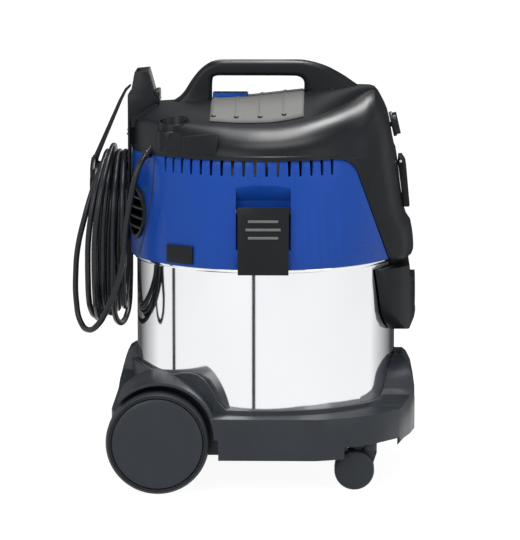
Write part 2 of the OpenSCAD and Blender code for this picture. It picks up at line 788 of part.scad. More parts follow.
module cord_bracket() color(black) difference() {
  union() {
    side_shape([[-161.8, 340], [-159.2, 340], [-159.2, 411], [-155.5, 414.5], [-128, 431.6],
                [-124.5, 432.2], [-130, 440], [-138, 469], [-153.5, 467.5], [-158.4, 441.6],
                [-161.8, 441]], -30, 30);
    block([-161.8, -44, 332], [-159.2, 44, 352]);
    block([-159.4, -22, 382], [-155.8, 22, 411]);
    intersection() {
      difference() {
        rod_x(0, saddle_z, arm_end, -160, saddle_r);
        rod_x(0, saddle_z, arm_end - 5, -158, saddle_r - 6);
      }
      block([-210, -44, 300], [-150, 44, 400]);
    }
    intersection() {
      rod_x(0, saddle_z, arm_end, arm_end + 5.4, saddle_r + 7);
      block([-210, -38, 344], [-150, 38, 400]);
    }
  }
  side_shape([[-156, 420], [-130, 434], [-140, 475], [-151.8, 475]], -23, 23);
  block([-215, -10, strap_pivot[1] - 7], [-197.5, 10, 400]);
  rod_y(strap_pivot[0], strap_pivot[1], -30, 30, 2 + fit);
  for (y = bracket_screw_y) rod_x(y, bracket_screw_z, -170, -120, 1.8 + fit);
}

module bracket_screws() color(steel) for (y = bracket_screw_y) {
  rod_x(y, bracket_screw_z, -162, -146, 1.8);
  rod_x(y, bracket_screw_z, -163.6, -161.9, 3.6);
}

module strap_pin() color(steel)
  rod_y(strap_pivot[0], strap_pivot[1], -19, 19, 2);

// Bar that closes the cord hook, from the end of the arm to the horn.
module cord_strap() color(dark) difference() {
  union() {
    side_shape([[-206.6, 352], [-206, 362], [-202, 370], [-173.5, 433], [-167, 445],
                [-160.5, 450.5], [-159.6, 448.5], [-164.5, 443], [-170, 431.5],
                [-196.5, 368], [-199.8, 358], [-199.8, 352]], -9, 9);
    rod_y(strap_pivot[0], strap_pivot[1], -9, 9, 3.4);
  }
  rod_y(strap_pivot[0], strap_pivot[1], -20, 20, 2 + fit);
}

// ---------------------------------------------------------------- cord

gland_in = [-127, -74, 390];
gland_out = [-138, -90, 376];

module between(a, b, r1, r2) {
  d = b - a;
  translate(a) rotate([0, acos(d[2] / norm(d)), atan2(d[1], d[0])])
    cylinder(h = norm(d), r1 = r1, r2 = r2);
}

module gland_hole(r)
  between(gland_in - (gland_out - gland_in), gland_out + (gland_out - gland_in), r, r);

module cord_gland() color(dark) between(gland_in, gland_out, 6.1, 4.4);

lead_route = [
  [-138, -90, 376], [-141, -94, 372], [-146, -99, 362], [-151, -101, 345], [-157, -98, 320],
  [-163, -92, 291], [-166, -84, 263], [-167, -76, 240]
];

tail_route = [
  [-184, 70, 330], [-184, 80, 318], [-184, 87, 300], [-184, 89, 282], [-184, 90, 262]
];

function unit(v) = v / norm(v);

function direction(path, i) =
  unit(path[min(i + 1, len(path) - 1)] - path[max(i - 1, 0)]);

// A round tube along a route, with square ends.
module tube_along(path, d, sides = 10) loft([
  for (i = [0:len(path) - 1])
    let (t = direction(path, i), u = unit(cross(t, [1, 0.3, 0.1])), v = cross(t, u))
    [for (k = [0:sides - 1])
      path[i] + d / 2 * (u * cos(360 * k / sides) - v * sin(360 * k / sides))]
]);

// A point part of the way along a smooth curve through the route's points.
function spline(p, i, t) =
  let (a = p[max(i - 1, 0)], b = p[i], c = p[i + 1], d = p[min(i + 2, len(p) - 1)])
  0.5 * (2 * b + (c - a) * t + (2 * a - 5 * b + 4 * c - d) * t * t
    + (3 * b - a - 3 * c + d) * t * t * t);

function smooth_route(p) = concat(
  [for (i = [0:len(p) - 2], t = [0, 0.5]) spline(p, i, t)], [p[len(p) - 1]]
);

module cord_lead() color(dark) tube_along(smooth_route(lead_route), cord_d);
module cord_tail() color(dark) tube_along(smooth_route(tail_route), cord_d);

// Outline of the hanging turns, seen from behind.
module hank_outline(r, low) {
  translate([0, saddle_z]) circle(r = r);
  translate([0, low + r]) circle(r = r);
  translate([-r, low + r]) square([2 * r, saddle_z - low - r]);
}

module cord_coil() color(dark) intersection() {
  translate([-230, 0, 0]) rotate([90, 0, 90]) linear_extrude(80) difference() {
    hank_outline(75, 149);
    hank_outline(saddle_r + gap, 178);
  }
  side_shape([[-163.2, 376], [-191, 376], [-195.4, 367], [-199.2, 357], [-199.9, 343], [-204, 337],
              [-219, 300], [-226, 255], [-224, 200], [-214, 152], [-204, 149], [-184, 166],
              [-163.2, 168], [-162.4, 240]], -90, 90);
}

module mains_plug() color(dark) {
  translate([-184, 90, 0]) {
    translate([0, 0, 240]) cylinder(h = 22, r1 = 7, r2 = 4.6);
    translate([0, 0, 206]) cylinder(h = 34.2, r = 13.5);
    for (x = [-9.5, 9.5]) translate([x, 0, 187]) cylinder(h = 19.2, r = 2.4);
  }
}

// ---------------------------------------------------------------- motor and filter

module fan_housing() color(steel) difference() {
  turned([
    [26, 264.4], [70, 264.4], [70, 300], [5 + fit, 300], [5 + fit, 297], [67, 297],
    [67, 267.4], [26, 267.4]
  ]);
  cage_screw_holes();
}

module impeller() color(grey) {
  difference() {
    union() {
      translate([0, 0, 288]) cylinder(h = 2, r = 60);
      translate([0, 0, 276]) cylinder(h = 13, r = 10);
      for (i = [0:8]) rotate(i * 40) block([9, -0.8, 272], [59, 0.8, 288.5]);
    }
    translate([0, 0, 260]) cylinder(h = 60, r = 5);
  }
  difference() {
    translate([0, 0, 270.4]) cylinder(h = 1.8, r = 60);
    translate([0, 0, 260]) cylinder(h = 20, r = 27);
  }
}

module motor_can() color(steel) difference() {
  turned([[5 + fit, 300.4], [52, 300.4], [52, 372], [5 + fit, 372], [5 + fit, 369.5],
          [49.5, 369.5], [49.5, 303], [5 + fit, 303]]);
  for (a = [0:45:315]) rotate(a) block([40, -5, 312], [60, 5, 345]);
}

module motor_shaft() color(steel) {
  translate([0, 0, 273]) cylinder(h = 98, r = 5);
  translate([0, 0, 312]) cylinder(h = 40, r = 34);
  translate([0, 0, 356]) cylinder(h = 11, r = 14);
}

module filter_cage() color(black) difference() {
  union() {
    turned([[20, 250], [60, 250], [60, 257.8], [20, 257.8]]);
    translate([0, 0, 166]) cylinder(h = 85, r = 40);
  }
  translate([0, 0, 169]) cylinder(h = 81.1, r = 37);
  translate([0, 0, 240]) cylinder(h = 30, r = 20);
  for (a = [0:30:330], z = [174, 212]) rotate(a) block([30, -7, z], [50, 7, z + 32]);
  cage_screw_holes();
}

// Ball that shuts the air intake when the drum is full.
module float_ball() color(grey) translate([0, 0, 169.4 + 22]) sphere(r = 22);

module filter_cartridge() color([0.85, 0.84, 0.80]) translate([0, 0, 163.2]) linear_extrude(86) difference() {
  polygon([for (i = [0:95]) (i % 2 == 0 ? 72 : 60) * [cos(i * 3.75), sin(i * 3.75)]]);
  circle(r = 43);
}

module filter_plate() color(black) {
  translate([0, 0, 158]) cylinder(h = 5, r = 74);
  translate([0, 0, 150]) cylinder(h = 9, r = 12);
  translate([0, 0, 162.8]) cylinder(h = 3, r = 38);
}

at_drum() trolley_base();
at_drum() tank_clamps();
at_floor() wheel_axles();
at_floor() axle_clips();
at_drum() caster_sockets();
at_floor() wheel_rim(1);  // right_wheel_rim
at_floor() wheel_tyre(1);  // right_wheel_tyre
at_floor() wheel_cap(1);  // right_wheel_cap
at_floor() wheel_rim(-1);  // left_wheel_rim
at_floor() wheel_tyre(-1);  // left_wheel_tyre
at_floor() wheel_cap(-1);  // left_wheel_cap
at_floor() caster_fork(1);  // right_caster_fork
at_floor() caster_axle(1);  // right_caster_axle
at_floor() caster_wheels(1);  // right_caster_wheels
at_floor() caster_fork(-1);  // left_caster_fork
at_floor() caster_axle(-1);  // left_caster_axle
at_floor() caster_wheels(-1);  // left_caster_wheels
at_drum() drum();
at_drum() inlet_housing();
at_drum() inlet_gasket();
at_drum() inlet_deflector();
at_drum() inlet_screws();
at_drum() head_base();
at_drum() head_gasket();
at_drum() side_band();
at_drum() front_panel();
at_drum() top_cover();
at_drum() top_pad();
at_drum() carry_handle();
at_drum() housing_screws();
at_drum() clean_button();
at_drum() clean_spring();
at_drum() latch_pins();
at_drum() latch(1);  // right_latch
at_drum() latch(-1);  // left_latch
at_drum() band_clips();
at_drum() tube_holders();
at_drum() blower_port();
at_drum() switch_body();
at_drum() switch_knob();
at_drum() socket_body();
at_drum() flap_pin();
at_drum() socket_flap();
at_drum() cord_bracket();
at_drum() bracket_screws();
at_drum() strap_pin();
at_drum() cord_strap();
at_drum() cord_gland();
at_drum() cord_lead();
at_drum() cord_coil();
at_drum() cord_tail();
at_drum() mains_plug();
at_drum() fan_housing();
at_drum() impeller();
at_drum() motor_can();
at_drum() motor_shaft();
at_drum() filter_cage();
at_drum() float_ball();
at_drum() filter_cartridge();
at_drum() filter_plate();
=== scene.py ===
import json
import math

import bmesh
import bpy
from mathutils import Matrix, Vector


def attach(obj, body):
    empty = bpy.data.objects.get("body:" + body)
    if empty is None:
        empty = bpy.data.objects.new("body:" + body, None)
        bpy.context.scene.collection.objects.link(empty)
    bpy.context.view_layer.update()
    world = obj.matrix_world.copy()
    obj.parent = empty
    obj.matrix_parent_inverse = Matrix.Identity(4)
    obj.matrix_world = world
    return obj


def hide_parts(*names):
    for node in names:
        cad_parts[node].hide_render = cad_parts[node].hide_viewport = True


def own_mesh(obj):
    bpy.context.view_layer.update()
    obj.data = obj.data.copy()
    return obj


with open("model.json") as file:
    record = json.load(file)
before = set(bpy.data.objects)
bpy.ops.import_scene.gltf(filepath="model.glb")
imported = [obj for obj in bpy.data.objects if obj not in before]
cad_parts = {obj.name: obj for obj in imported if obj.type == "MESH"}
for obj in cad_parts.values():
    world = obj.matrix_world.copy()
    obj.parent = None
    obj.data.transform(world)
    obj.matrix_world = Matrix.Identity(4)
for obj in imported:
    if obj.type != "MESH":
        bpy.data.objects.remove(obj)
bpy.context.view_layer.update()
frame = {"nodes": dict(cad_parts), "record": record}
mm = 0.001

cameraSetup = {"target": (0.007, 0.0, 0.2335), "distance": 4.0, "azimuth": 1.2, "elevation": 8.6,
               "lens": 224.0, "sensor": 36.0}


def addObject(name, data):
    made = bpy.data.objects.new(name, data)
    bpy.context.scene.collection.objects.link(made)
    return made


def turnTo(made, turn):
    made.rotation_mode, made.rotation_quaternion = "QUATERNION", turn


def makeCamera():
    azimuth, elevation = (math.radians(cameraSetup[k]) for k in ("azimuth", "elevation"))
    back = Vector((math.sin(azimuth) * math.cos(elevation), -math.cos(azimuth) * math.cos(elevation),
                   math.sin(elevation)))
    data = bpy.data.cameras.new("camera")
    data.lens, data.sensor_width = cameraSetup["lens"], cameraSetup["sensor"]
    data.clip_start, data.clip_end = 0.1, 50.0
    camera = addObject("camera", data)
    camera.location = Vector(cameraSetup["target"]) + back * cameraSetup["distance"]
    turnTo(camera, (-back).to_track_quat("-Z", "Y"))
    bpy.context.scene.camera = camera


makeCamera()
print("camera done")

# the drum's axis before the origin and the body's level above the floor, in mm
body = {"ahead": 14.0, "up": 4.5}


def place(x, y, z, up=body["up"]):
    # from the drum's axis and the body's level, in mm, to the scene
    return Vector((x + body["ahead"], y, z + up)) * mm


# mains cord: down from the gland, one fold below the hook, passes over the hook, then the plug
cord = {"diameter": 7 * mm, "length": 5.0, "axisZ": 299, "layerRadii": (64.0, 71.2, 78.4),
        "columns": (-173.9, -166.7, -159.6, -152.5), "swing": (0.3, 0.4, 0.62, 0.72),
        "pointsPerTurn": 24, "smoothness": 6}

# each pass over the hook: column and layer there, x of its near and far limb, lowest z after it
passes = [dict(zip(("column", "layer", "near", "far", "low"), row)) for row in (
    (0, 0, -200.0, -192.0, 172.0), (1, 0, -182.0, -181.0, 178.0), (2, 0, -170.0, -168.0, 183.0),
    (3, 0, -158.0, -155.0, 186.0), (3, 1, -152.5, -151.5, 166.0), (2, 1, -164.0, -162.0, 178.0),
    (1, 1, -176.0, -175.0, 173.0), (0, 1, -193.0, -182.0, 171.0), (1, 2, -185.0, -170.0, 170.0))]

leadRoute = [(-124, -90, 376), (-127, -94, 372), (-132, -99, 362), (-137, -101, 345), (-142, -98, 320),
             (-147, -92, 291), (-150, -87, 263), (-154, -84, 240), (-160, -84, 219), (-169, -84, 197),
             (-180, -78, 177), (-193, -65, 167), (-204, -49.5, 175), (-209, -43.5, 199), (-209, -48, 232),
             (-206, -55, 262), (-198, -62, 296), (-186, -50, 337), (-177, -26, 358)]

overRoute = [(-167, 31, 371.0), (-168, 53.5, 356.3)]
tailRoute = [(-170, 70, 330), (-170, 80, 318), (-170, 87, 300), (-170, 89, 282), (-170, 90, 260)]


def throughKnots(s, knots):
    for (s0, v0), (s1, v1) in zip(knots, knots[1:]):
        if s <= s1:
            t = (s - s0) / (s1 - s0)
            return v0 + (v1 - v0) * t * t * (3 - 2 * t)
    return knots[-1][1]


def hangingTurn(a, b):
    # from the top of pass a, down the far side, round the bottom and up the near side to pass b
    count, axisZ, radii, columns = (cord[k] for k in ("pointsPerTurn", "axisZ", "layerRadii", "columns"))
    points = []
    for k in range(count):
        s = k / count
        radius = throughKnots(s, [(0.0, radii[a["layer"]]), (1.0, radii[b["layer"]])])
        quarter, limb = math.pi * radius / 2, axisZ - a["low"] - radius
        along = s * (4 * quarter + 2 * limb)
        side = 1 if s < 0.5 else -1
        along = min(along, 4 * quarter + 2 * limb - along)
        if along < quarter:
            y, z = radius * math.sin(along / radius), axisZ + radius * math.cos(along / radius)
        elif along < quarter + limb:
            y, z = radius, axisZ - along + quarter
        else:
            angle = (along - quarter - limb) / radius
            y, z = radius * math.cos(angle), a["low"] + radius - radius * math.sin(angle)
        ends = (columns[a["column"]], a["far"], a["far"], b["near"], b["near"], columns[b["column"]])
        x = throughKnots(s, list(zip((0.0, *cord["swing"], 1.0), ends)))
        points.append((x, side * y, z))
    return points


def cordPoints():
    points = list(leadRoute)
    for a, b in zip(passes, passes[1:]):
        points += hangingTurn(a, b)
    last = passes[-1]
    points.append((cord["columns"][last["column"]], 0, cord["axisZ"] + cord["layerRadii"][last["layer"]]))
    return [Vector((x, y, z + body["up"])) * mm for x, y, z in points + overRoute + tailRoute]


def makeCord():
    curve = bpy.data.curves.new("mains_cord", "CURVE")
    curve.dimensions = "3D"
    curve.bevel_depth, curve.bevel_resolution = 1.0, 3
    curve.resolution_u = cord["smoothness"]
    curve.use_fill_caps = True
    points = cordPoints()
    spline = curve.splines.new("BEZIER")
    spline.bezier_points.add(len(points) - 1)
    for knot, point in zip(spline.bezier_points, points):
        knot.co, knot.radius = point, cord["diameter"] / 2
        knot.handle_left_type = knot.handle_right_type = "AUTO"
    made = addObject("mains_cord", curve)
    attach(made, "head")
    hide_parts("cord_lead", "cord_coil", "cord_tail")
    return made


mainsCord = makeCord()
print("cord done")

# shader groups


def shaderGroup(name, inputs, outputs):
    group = bpy.data.node_groups.new(name, "ShaderNodeTree")
    for label, value in inputs.items():
        kind = "NodeSocketColor" if isinstance(value, tuple) else "NodeSocketFloat"
        group.interface.new_socket(label, in_out="INPUT", socket_type=kind).default_value = value
    for label, kind in outputs.items():
        group.interface.new_socket(label, in_out="OUTPUT", socket_type=kind)
    tree = Nodes(group)
    return tree, tree.add("NodeGroupInput").outputs, tree.add("NodeGroupOutput").inputs


class Nodes:
    # short way to add nodes to a tree and join them
    def __init__(self, tree):
        self.tree = tree

    def add(self, kind, inputs=None, **settings):
        node = self.tree.nodes.new(kind)
        for key, value in settings.items():
            setattr(node, key, value)
        for key, value in (inputs or {}).items():
            self.set(node.inputs[key], value)
        return node

    def set(self, socket, value):
        if isinstance(value, bpy.types.NodeSocket):
            self.tree.links.new(value, socket)
        elif hasattr(socket.default_value, "__len__") and len(socket.default_value) == 4 and len(value) == 3:
            socket.default_value = (*value, 1.0)
        else:
            socket.default_value = value

    def math(self, operation, a, b=0.0, clamp=False):
        return self.add("ShaderNodeMath", {0: a, 1: b}, operation=operation, use_clamp=clamp).outputs[0]

    def mix(self, factor, a, b):
        node = self.add("ShaderNodeMix", data_type="RGBA")
        for index, value in ((0, factor), (6, a), (7, b)):
            self.set(node.inputs[index], value)
        return node.outputs[2]

    def ramp(self, value, low, high, start=0.0, end=1.0):
        return self.add("ShaderNodeMapRange", {"Value": value, "From Min": low, "From Max": high,
                                               "To Min": start, "To Max": end}).outputs[0]

    def noise(self, vector, scale, detail=2.0, roughness=0.5):
        return self.add("ShaderNodeTexNoise", {"Vector": vector, "Scale": scale, "Detail": detail,
                                               "Roughness": roughness}).outputs[0]

    def object(self):
        return self.add("ShaderNodeTexCoord").outputs["Object"]

    def finish(self, shader, kind="Material"):
        self.set(self.add("ShaderNodeOutput" + kind).inputs["Surface"], shader.outputs[0])

    def group(self, tree, **inputs):
        node = self.add("ShaderNodeGroup", node_tree=tree)
        for key, value in inputs.items():
            self.set(node.inputs[key], value)
        return node.outputs


def makeWearGroup():
    # bright mask along convex edges, broken up by noise
    tree, given, out = shaderGroup("edgeWear", {"radius": 0.0008, "amount": 0.5, "grainScale": 90.0},
                                   {"mask": "NodeSocketFloat"})
    rounded = tree.add("ShaderNodeBevel", {"Radius": given["radius"]}, samples=4).outputs[0]
    sharp = tree.add("ShaderNodeNewGeometry").outputs["Normal"]
    likeness = tree.add("ShaderNodeVectorMath", {0: rounded, 1: sharp}, operation="DOT_PRODUCT")
    edge = tree.ramp(likeness.outputs["Value"], 0.995, 0.88)
    where = tree.object()
    broken = tree.ramp(tree.noise(where, given["grainScale"], 3.0), 0.35, 0.6)
    tree.set(out["mask"], tree.math("MULTIPLY", tree.math("MULTIPLY", edge, broken), given["amount"], True))
    return tree.tree


def makeGrainGroup():
    # fine skin of a moulded part and the slow change of its sheen
    tree, given, out = shaderGroup("mouldedGrain", {"scale": 900.0, "patchScale": 14.0},
                                   {"height": "NodeSocketFloat", "patches": "NodeSocketFloat"})
    where = tree.object()
    fine = tree.noise(where, given["scale"], 2.0)
    cells = tree.add("ShaderNodeTexVoronoi", {"Vector": where, "Scale": given["scale"]}).outputs["Distance"]
    tree.set(out["height"], tree.math("ADD", fine, cells))
    tree.set(out["patches"], tree.noise(where, given["patchScale"], 4.0, 0.6))
    return tree.tree


def makeDustGroup():
    # thin film that settles on faces that look up
    tree, given, out = shaderGroup("settledDust", {"amount": 0.2, "scale": 40.0}, {"mask": "NodeSocketFloat"})
    normal = tree.add("ShaderNodeNewGeometry").outputs["Normal"]
    up = tree.add("ShaderNodeSeparateXYZ", {0: normal}).outputs[2]
    where = tree.object()
    patchy = tree.ramp(tree.noise(where, given["scale"], 5.0), 0.3, 0.75)
    film = tree.math("MULTIPLY", tree.ramp(up, 0.35, 1.0), patchy)
    tree.set(out["mask"], tree.math("MULTIPLY", film, given["amount"], True))
    return tree.tree


wearGroup, grainGroup, dustGroup = makeWearGroup(), makeGrainGroup(), makeDustGroup()

# materials
materials = {}
surface = {"dustColour": (0.32, 0.31, 0.29), "dustRough": 0.3, "patchRough": 0.04, "bumpDepth": 0.2 * mm,
           "brightMetal": (0.9, 0.9, 0.9), "metalWear": 0.3, "metalWearWidth": 0.5 * mm}


def startMaterial(name):
    material = bpy.data.materials.new(name)
    material.use_nodes = True
    material.node_tree.nodes.clear()
    tree = Nodes(material.node_tree)
    shader = tree.add("ShaderNodeBsdfPrincipled")
    tree.finish(shader)
    materials[name] = material
    return tree, shader


def scaled(colour, factor):
    return tuple(min(1.0, c * factor) for c in colour)


def addBump(tree, shader, strength, height, depth=surface["bumpDepth"]):
    bump = tree.add("ShaderNodeBump", {"Strength": strength, "Distance": depth, "Height": height})
    tree.set(shader.inputs["Normal"], bump.outputs[0])


def moulded(name, colour, edge, rough, grain=0.12, grainScale=900.0, wear=0.35, dust=0.08, spread=0.12,
            specular=0.5):
    # plastic or rubber: base colour with slow patches, lighter worn edges, a little dust, fine grain
    tree, shader = startMaterial(name)
    skin = tree.group(grainGroup, scale=grainScale)
    worn = tree.group(wearGroup, amount=wear)["mask"]
    dusty = tree.group(dustGroup, amount=dust)["mask"]
    patches = tree.ramp(skin["patches"], 0.3, 0.7, -1.0, 1.0)
    base = tree.mix(tree.ramp(patches, -1.0, 1.0), scaled(colour, 1 - spread), scaled(colour, 1 + spread))
    base = tree.mix(dusty, tree.mix(worn, base, edge), surface["dustColour"])
    tree.set(shader.inputs["Base Color"], base)
    roughness = tree.math("ADD", tree.math("MULTIPLY", patches, surface["patchRough"]), rough)
    roughness = tree.math("ADD", roughness, tree.math("MULTIPLY", dusty, surface["dustRough"]), True)
    tree.set(shader.inputs["Roughness"], roughness)
    shader.inputs["Specular IOR Level"].default_value = specular
    addBump(tree, shader, grain, skin["height"])


def metal(name, colour, rough, streak=(1.0, 1.0, 12.0), streakScale=60.0, streakBump=0.05, spread=0.06):
    # sheet or bar metal with fine drawn streaks across one axis and a faint bump
    tree, shader = startMaterial(name)
    where = tree.object()
    drawn = tree.add("ShaderNodeMapping", {"Vector": where, "Scale": streak}).outputs[0]
    lines = tree.noise(drawn, streakScale, 4.0, 0.7)
    clouds = tree.noise(where, 18.0, 3.0)
    worn = tree.group(wearGroup, amount=surface["metalWear"], radius=surface["metalWearWidth"])["mask"]
    both = tree.math("ADD", lines, clouds)
    base = tree.mix(tree.ramp(both, 0.6, 1.4), scaled(colour, 1 - spread), scaled(colour, 1 + spread))
    tree.set(shader.inputs["Base Color"], tree.mix(worn, base, surface["brightMetal"]))
    shader.inputs["Metallic"].default_value = 1.0
    tree.set(shader.inputs["Roughness"], tree.ramp(both, 0.6, 1.4, rough * 0.8, rough * 1.25))
    addBump(tree, shader, streakBump, lines)


def pleatedPaper(name, colour):
    tree, shader = startMaterial(name)
    where = tree.object()
    fibres = tree.noise(where, 700.0, 5.0, 0.7)
    blotches = tree.noise(where, 25.0, 3.0)
    shade = tree.ramp(tree.math("ADD", fibres, blotches), 0.6, 1.4)
    tree.set(shader.inputs["Base Color"], tree.mix(shade, scaled(colour, 0.86), colour))
    tree.set(shader.inputs["Roughness"], tree.ramp(fibres, 0.3, 0.7, 0.75, 0.95))
    addBump(tree, shader, 0.3, fibres, 0.3 * mm)


moulded("black_plastic", (0.009, 0.0102, 0.0128), (0.09, 0.095, 0.1), 0.32, dust=0.02, specular=0.16)
moulded("crown_plastic", (0.012, 0.0135, 0.0165), (0.1, 0.1, 0.11), 0.62, grain=0.3, dust=0.02,
        specular=0.06)
# lighter copy of black_plastic: a more matte finish, and painted light for the broad sheen of the lower parts
moulded("lit_black_plastic", (0.026, 0.0305, 0.0375), (0.11, 0.115, 0.125), 0.36, dust=0.03, specular=0.22)
moulded("strap_plastic", (0.011, 0.0125, 0.016), (0.09, 0.095, 0.1), 0.3, dust=0.02, specular=0.2)
moulded("blue_plastic", (0.009, 0.062, 0.35), (0.06, 0.17, 0.6), 0.3, grain=0.03, wear=0.3, spread=0.03,
        dust=0.0, specular=0.16)
moulded("tyre_rubber", (0.022, 0.026, 0.031), (0.07, 0.07, 0.075), 0.5, grain=0.2, grainScale=500.0,
        dust=0.04, specular=0.25)
moulded("grey_mat", (0.135, 0.135, 0.13), (0.36, 0.36, 0.35), 0.72, grain=0.3, grainScale=700.0,
        dust=0.04)
moulded("seal_rubber", (0.02, 0.02, 0.021), (0.06, 0.06, 0.06), 0.8, grain=0.4, grainScale=350.0)
moulded("cord_rubber", (0.011, 0.0125, 0.016), (0.1, 0.1, 0.11), 0.28, grain=0.04, wear=0.1, dust=0.0,
        specular=0.3)
moulded("plug_plastic", (0.014, 0.016, 0.02), (0.12, 0.12, 0.13), 0.36, dust=0.02, specular=0.25)
moulded("float_plastic", (0.62, 0.62, 0.6), (0.75, 0.75, 0.74), 0.4, grain=0.05, spread=0.05)
metal("drum_steel", (0.76, 0.765, 0.785), 0.07, streak=(1.0, 1.0, 0.0), streakScale=9.0, streakBump=0.0,
      spread=0.02)
metal("bare_steel", (0.56, 0.565, 0.58), 0.3)
metal("motor_steel", (0.58, 0.59, 0.61), 0.38, streak=(14.0, 14.0, 1.0))
metal("fan_alloy", (0.7, 0.71, 0.72), 0.3)
pleatedPaper("filter_paper", (0.78, 0.76, 0.68))


def dress(made, name):
    made.data.materials.clear()
    made.data.materials.append(materials[name])


for part in frame["record"]["subparts"]:
    dress(frame["nodes"][part["node"]], part["material_slot"])
dress(mainsCord, "cord_rubber")
print("materials done")

# shape helpers


def smoothTable(knots, x):
    # smooth curve through (x, value) knots that doesn't overshoot them
    if x <= knots[0][0]:
        return knots[0][1]
    slopes = [(b[1] - a[1]) / (b[0] - a[0]) for a, b in zip(knots, knots[1:])]

    def tangent(k):
        before, after = slopes[max(k - 1, 0)], slopes[min(k, len(slopes) - 1)]
        return 0.0 if before * after <= 0 else 2 * before * after / (before + after)

    for k, (a, b) in enumerate(zip(knots, knots[1:])):
        if x <= b[0]:
            span = b[0] - a[0]
            t = (x - a[0]) / span
            return ((1 + 2 * t) * (1 - t) ** 2 * a[1] + t * t * (3 - 2 * t) * b[1]
                    + span * t * (1 - t) * ((1 - t) * tangent(k) - t * tangent(k + 1)))
    return knots[-1][1]


# black pieces on these bodies, apart from the inlet, take a lighter copy of the head's black: a more matte
# finish, with painted light for their broad sheen
undercarriage = ("trolley", "right_wheel", "left_wheel", "right_caster", "left_caster")


def finishPiece(shape, name, rider, material, replaced=(), sharp=32.0, recalculate=True):
    if recalculate:
        bmesh.ops.recalc_face_normals(shape, faces=shape.faces)
    mesh = bpy.data.meshes.new(name)
    shape.to_mesh(mesh)
    shape.free()
    mesh.shade_smooth()
    mesh.set_sharp_from_angle(angle=math.radians(sharp))
    made = addObject(name, mesh)
    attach(made, rider)
    if replaced:
        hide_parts(*replaced)
    low = rider in undercarriage and not name.startswith("inlet")
    dress(made, "lit_black_plastic" if material == "black_plastic" and low else material)
    return made


def turned(profile, centre, axis="Z", steps=96):
    # (radius, distance along the axis) profile in mm, spun round an axis through a place in the scene
    shape = bmesh.new()
    along, out = {"Z": ((0, 0, 1), (1, 0, 0)), "Y": ((0, 1, 0), (0, 0, 1)), "X": ((1, 0, 0), (0, 0, 1))}[axis]
    corners = [shape.verts.new(centre + (Vector(out) * r + Vector(along) * d) * mm) for r, d in profile]
    for a, b in zip(corners, corners[1:]):
        shape.edges.new((a, b))
    bmesh.ops.spin(shape, geom=shape.verts[:] + shape.edges[:], cent=centre, axis=along,
                   angle=2 * math.pi, steps=steps, use_merge=True)
    bmesh.ops.remove_doubles(shape, verts=shape.verts, dist=1e-6)
    return shape


def copyOf(node, flat=False):
    shape = bmesh.new()
    shape.from_mesh(frame["nodes"][node].data)
    bmesh.ops.remove_doubles(shape, verts=shape.verts, dist=2e-6)
    if flat:
        bmesh.ops.dissolve_limit(shape, angle_limit=math.radians(0.4), verts=shape.verts, edges=shape.edges)
    return shape


def addTo(shape, other):
    mesh = bpy.data.meshes.new("part")
    other.to_mesh(mesh)
    other.free()
    shape.from_mesh(mesh)


def bevelEdges(shape, edges, width, segments=3):
    bmesh.ops.bevel(shape, geom=edges, offset=width * mm, offset_type="OFFSET", affect="EDGES",
                    segments=segments, profile=0.5, material=-1, clamp_overlap=True)


def roundEdges(shape, width, least):
    edges = [e for e in shape.edges if len(e.link_faces) == 2 and e.calc_face_angle(0) > math.radians(least)]
    bevelEdges(shape, edges, width, 2)


def once(parts):
    # each part once, in the order met
    return list(dict.fromkeys(parts))


def cutOpening(shape, centre, along, outline, low=-1.0):
    # opens a shell inside a convex outline of (u, v) points in mm, seen along a direction
    along = Vector(along).normalized()
    u = along.cross(Vector((0, 0, 1)) if abs(along.z) < 0.9 else Vector((0, 1, 0))).normalized()
    v = u.cross(along)
    corners = [centre + (u * a + v * b) * mm for a, b in outline]
    middle = sum(corners, Vector()) / len(corners)
    reach = max((c - middle).length for c in corners) * 1.3
    sides = []
    for a, b in zip(corners, corners[1:] + corners[:1]):
        normal = (b - a).cross(along).normalized()
        sides.append((a, normal if normal.dot(middle - a) < 0 else -normal))

    def near(face):
        offset = face.calc_center_median() - middle
        size = max((x.co - face.verts[0].co).length for x in face.verts)
        level = face.calc_center_median().z > low
        inward = offset.dot(along)
        return level and (offset - along * inward).length < reach + size and inward > -reach

    for a, normal in sides:
        faces = [f for f in shape.faces if near(f)]
        geom = faces + once(e for f in faces for e in f.edges) + once(x for f in faces for x in f.verts)
        bmesh.ops.bisect_plane(shape, geom=geom, dist=1e-6, plane_co=a, plane_no=normal)
    inside = [f for f in shape.faces if near(f)
              and all((f.calc_center_median() - a).dot(normal) < 1e-7 for a, normal in sides)]
    bmesh.ops.delete(shape, geom=inside, context="FACES")


def ringOutline(radius, count=32):
    return [(radius * math.cos(2 * math.pi * k / count), radius * math.sin(2 * math.pi * k / count))
            for k in range(count)]


def boundaryOf(shape):
    return [e for e in shape.edges if len(e.link_faces) == 1]


def turnIn(shape, edges, move):
    # wall along open edges; move gives each new corner its place
    made = bmesh.ops.extrude_edge_only(shape, edges=edges)["geom"]
    for corner in made:
        if isinstance(corner, bmesh.types.BMVert):
            corner.co = move(corner)
    return [g for g in made if isinstance(g, bmesh.types.BMEdge)]


# drum
drum = {"radius": 153.0, "floor": 58.0, "top": 254.0, "wall": 1.2, "corner": 12.0, "steps": 192,
        "bead": ((0.0, 6.2), (2.2, 5.7), (3.2, 4.4), (3.5, 3.0), (3.2, 1.6), (2.2, 0.4), (0.0, 0.0)),
        "inletHeight": 205.0, "inletRadius": 25.3, "screwSpots": ((-36, 22), (-36, -22), (36, 22), (36, -22)),
        "screwRadius": 2.3}


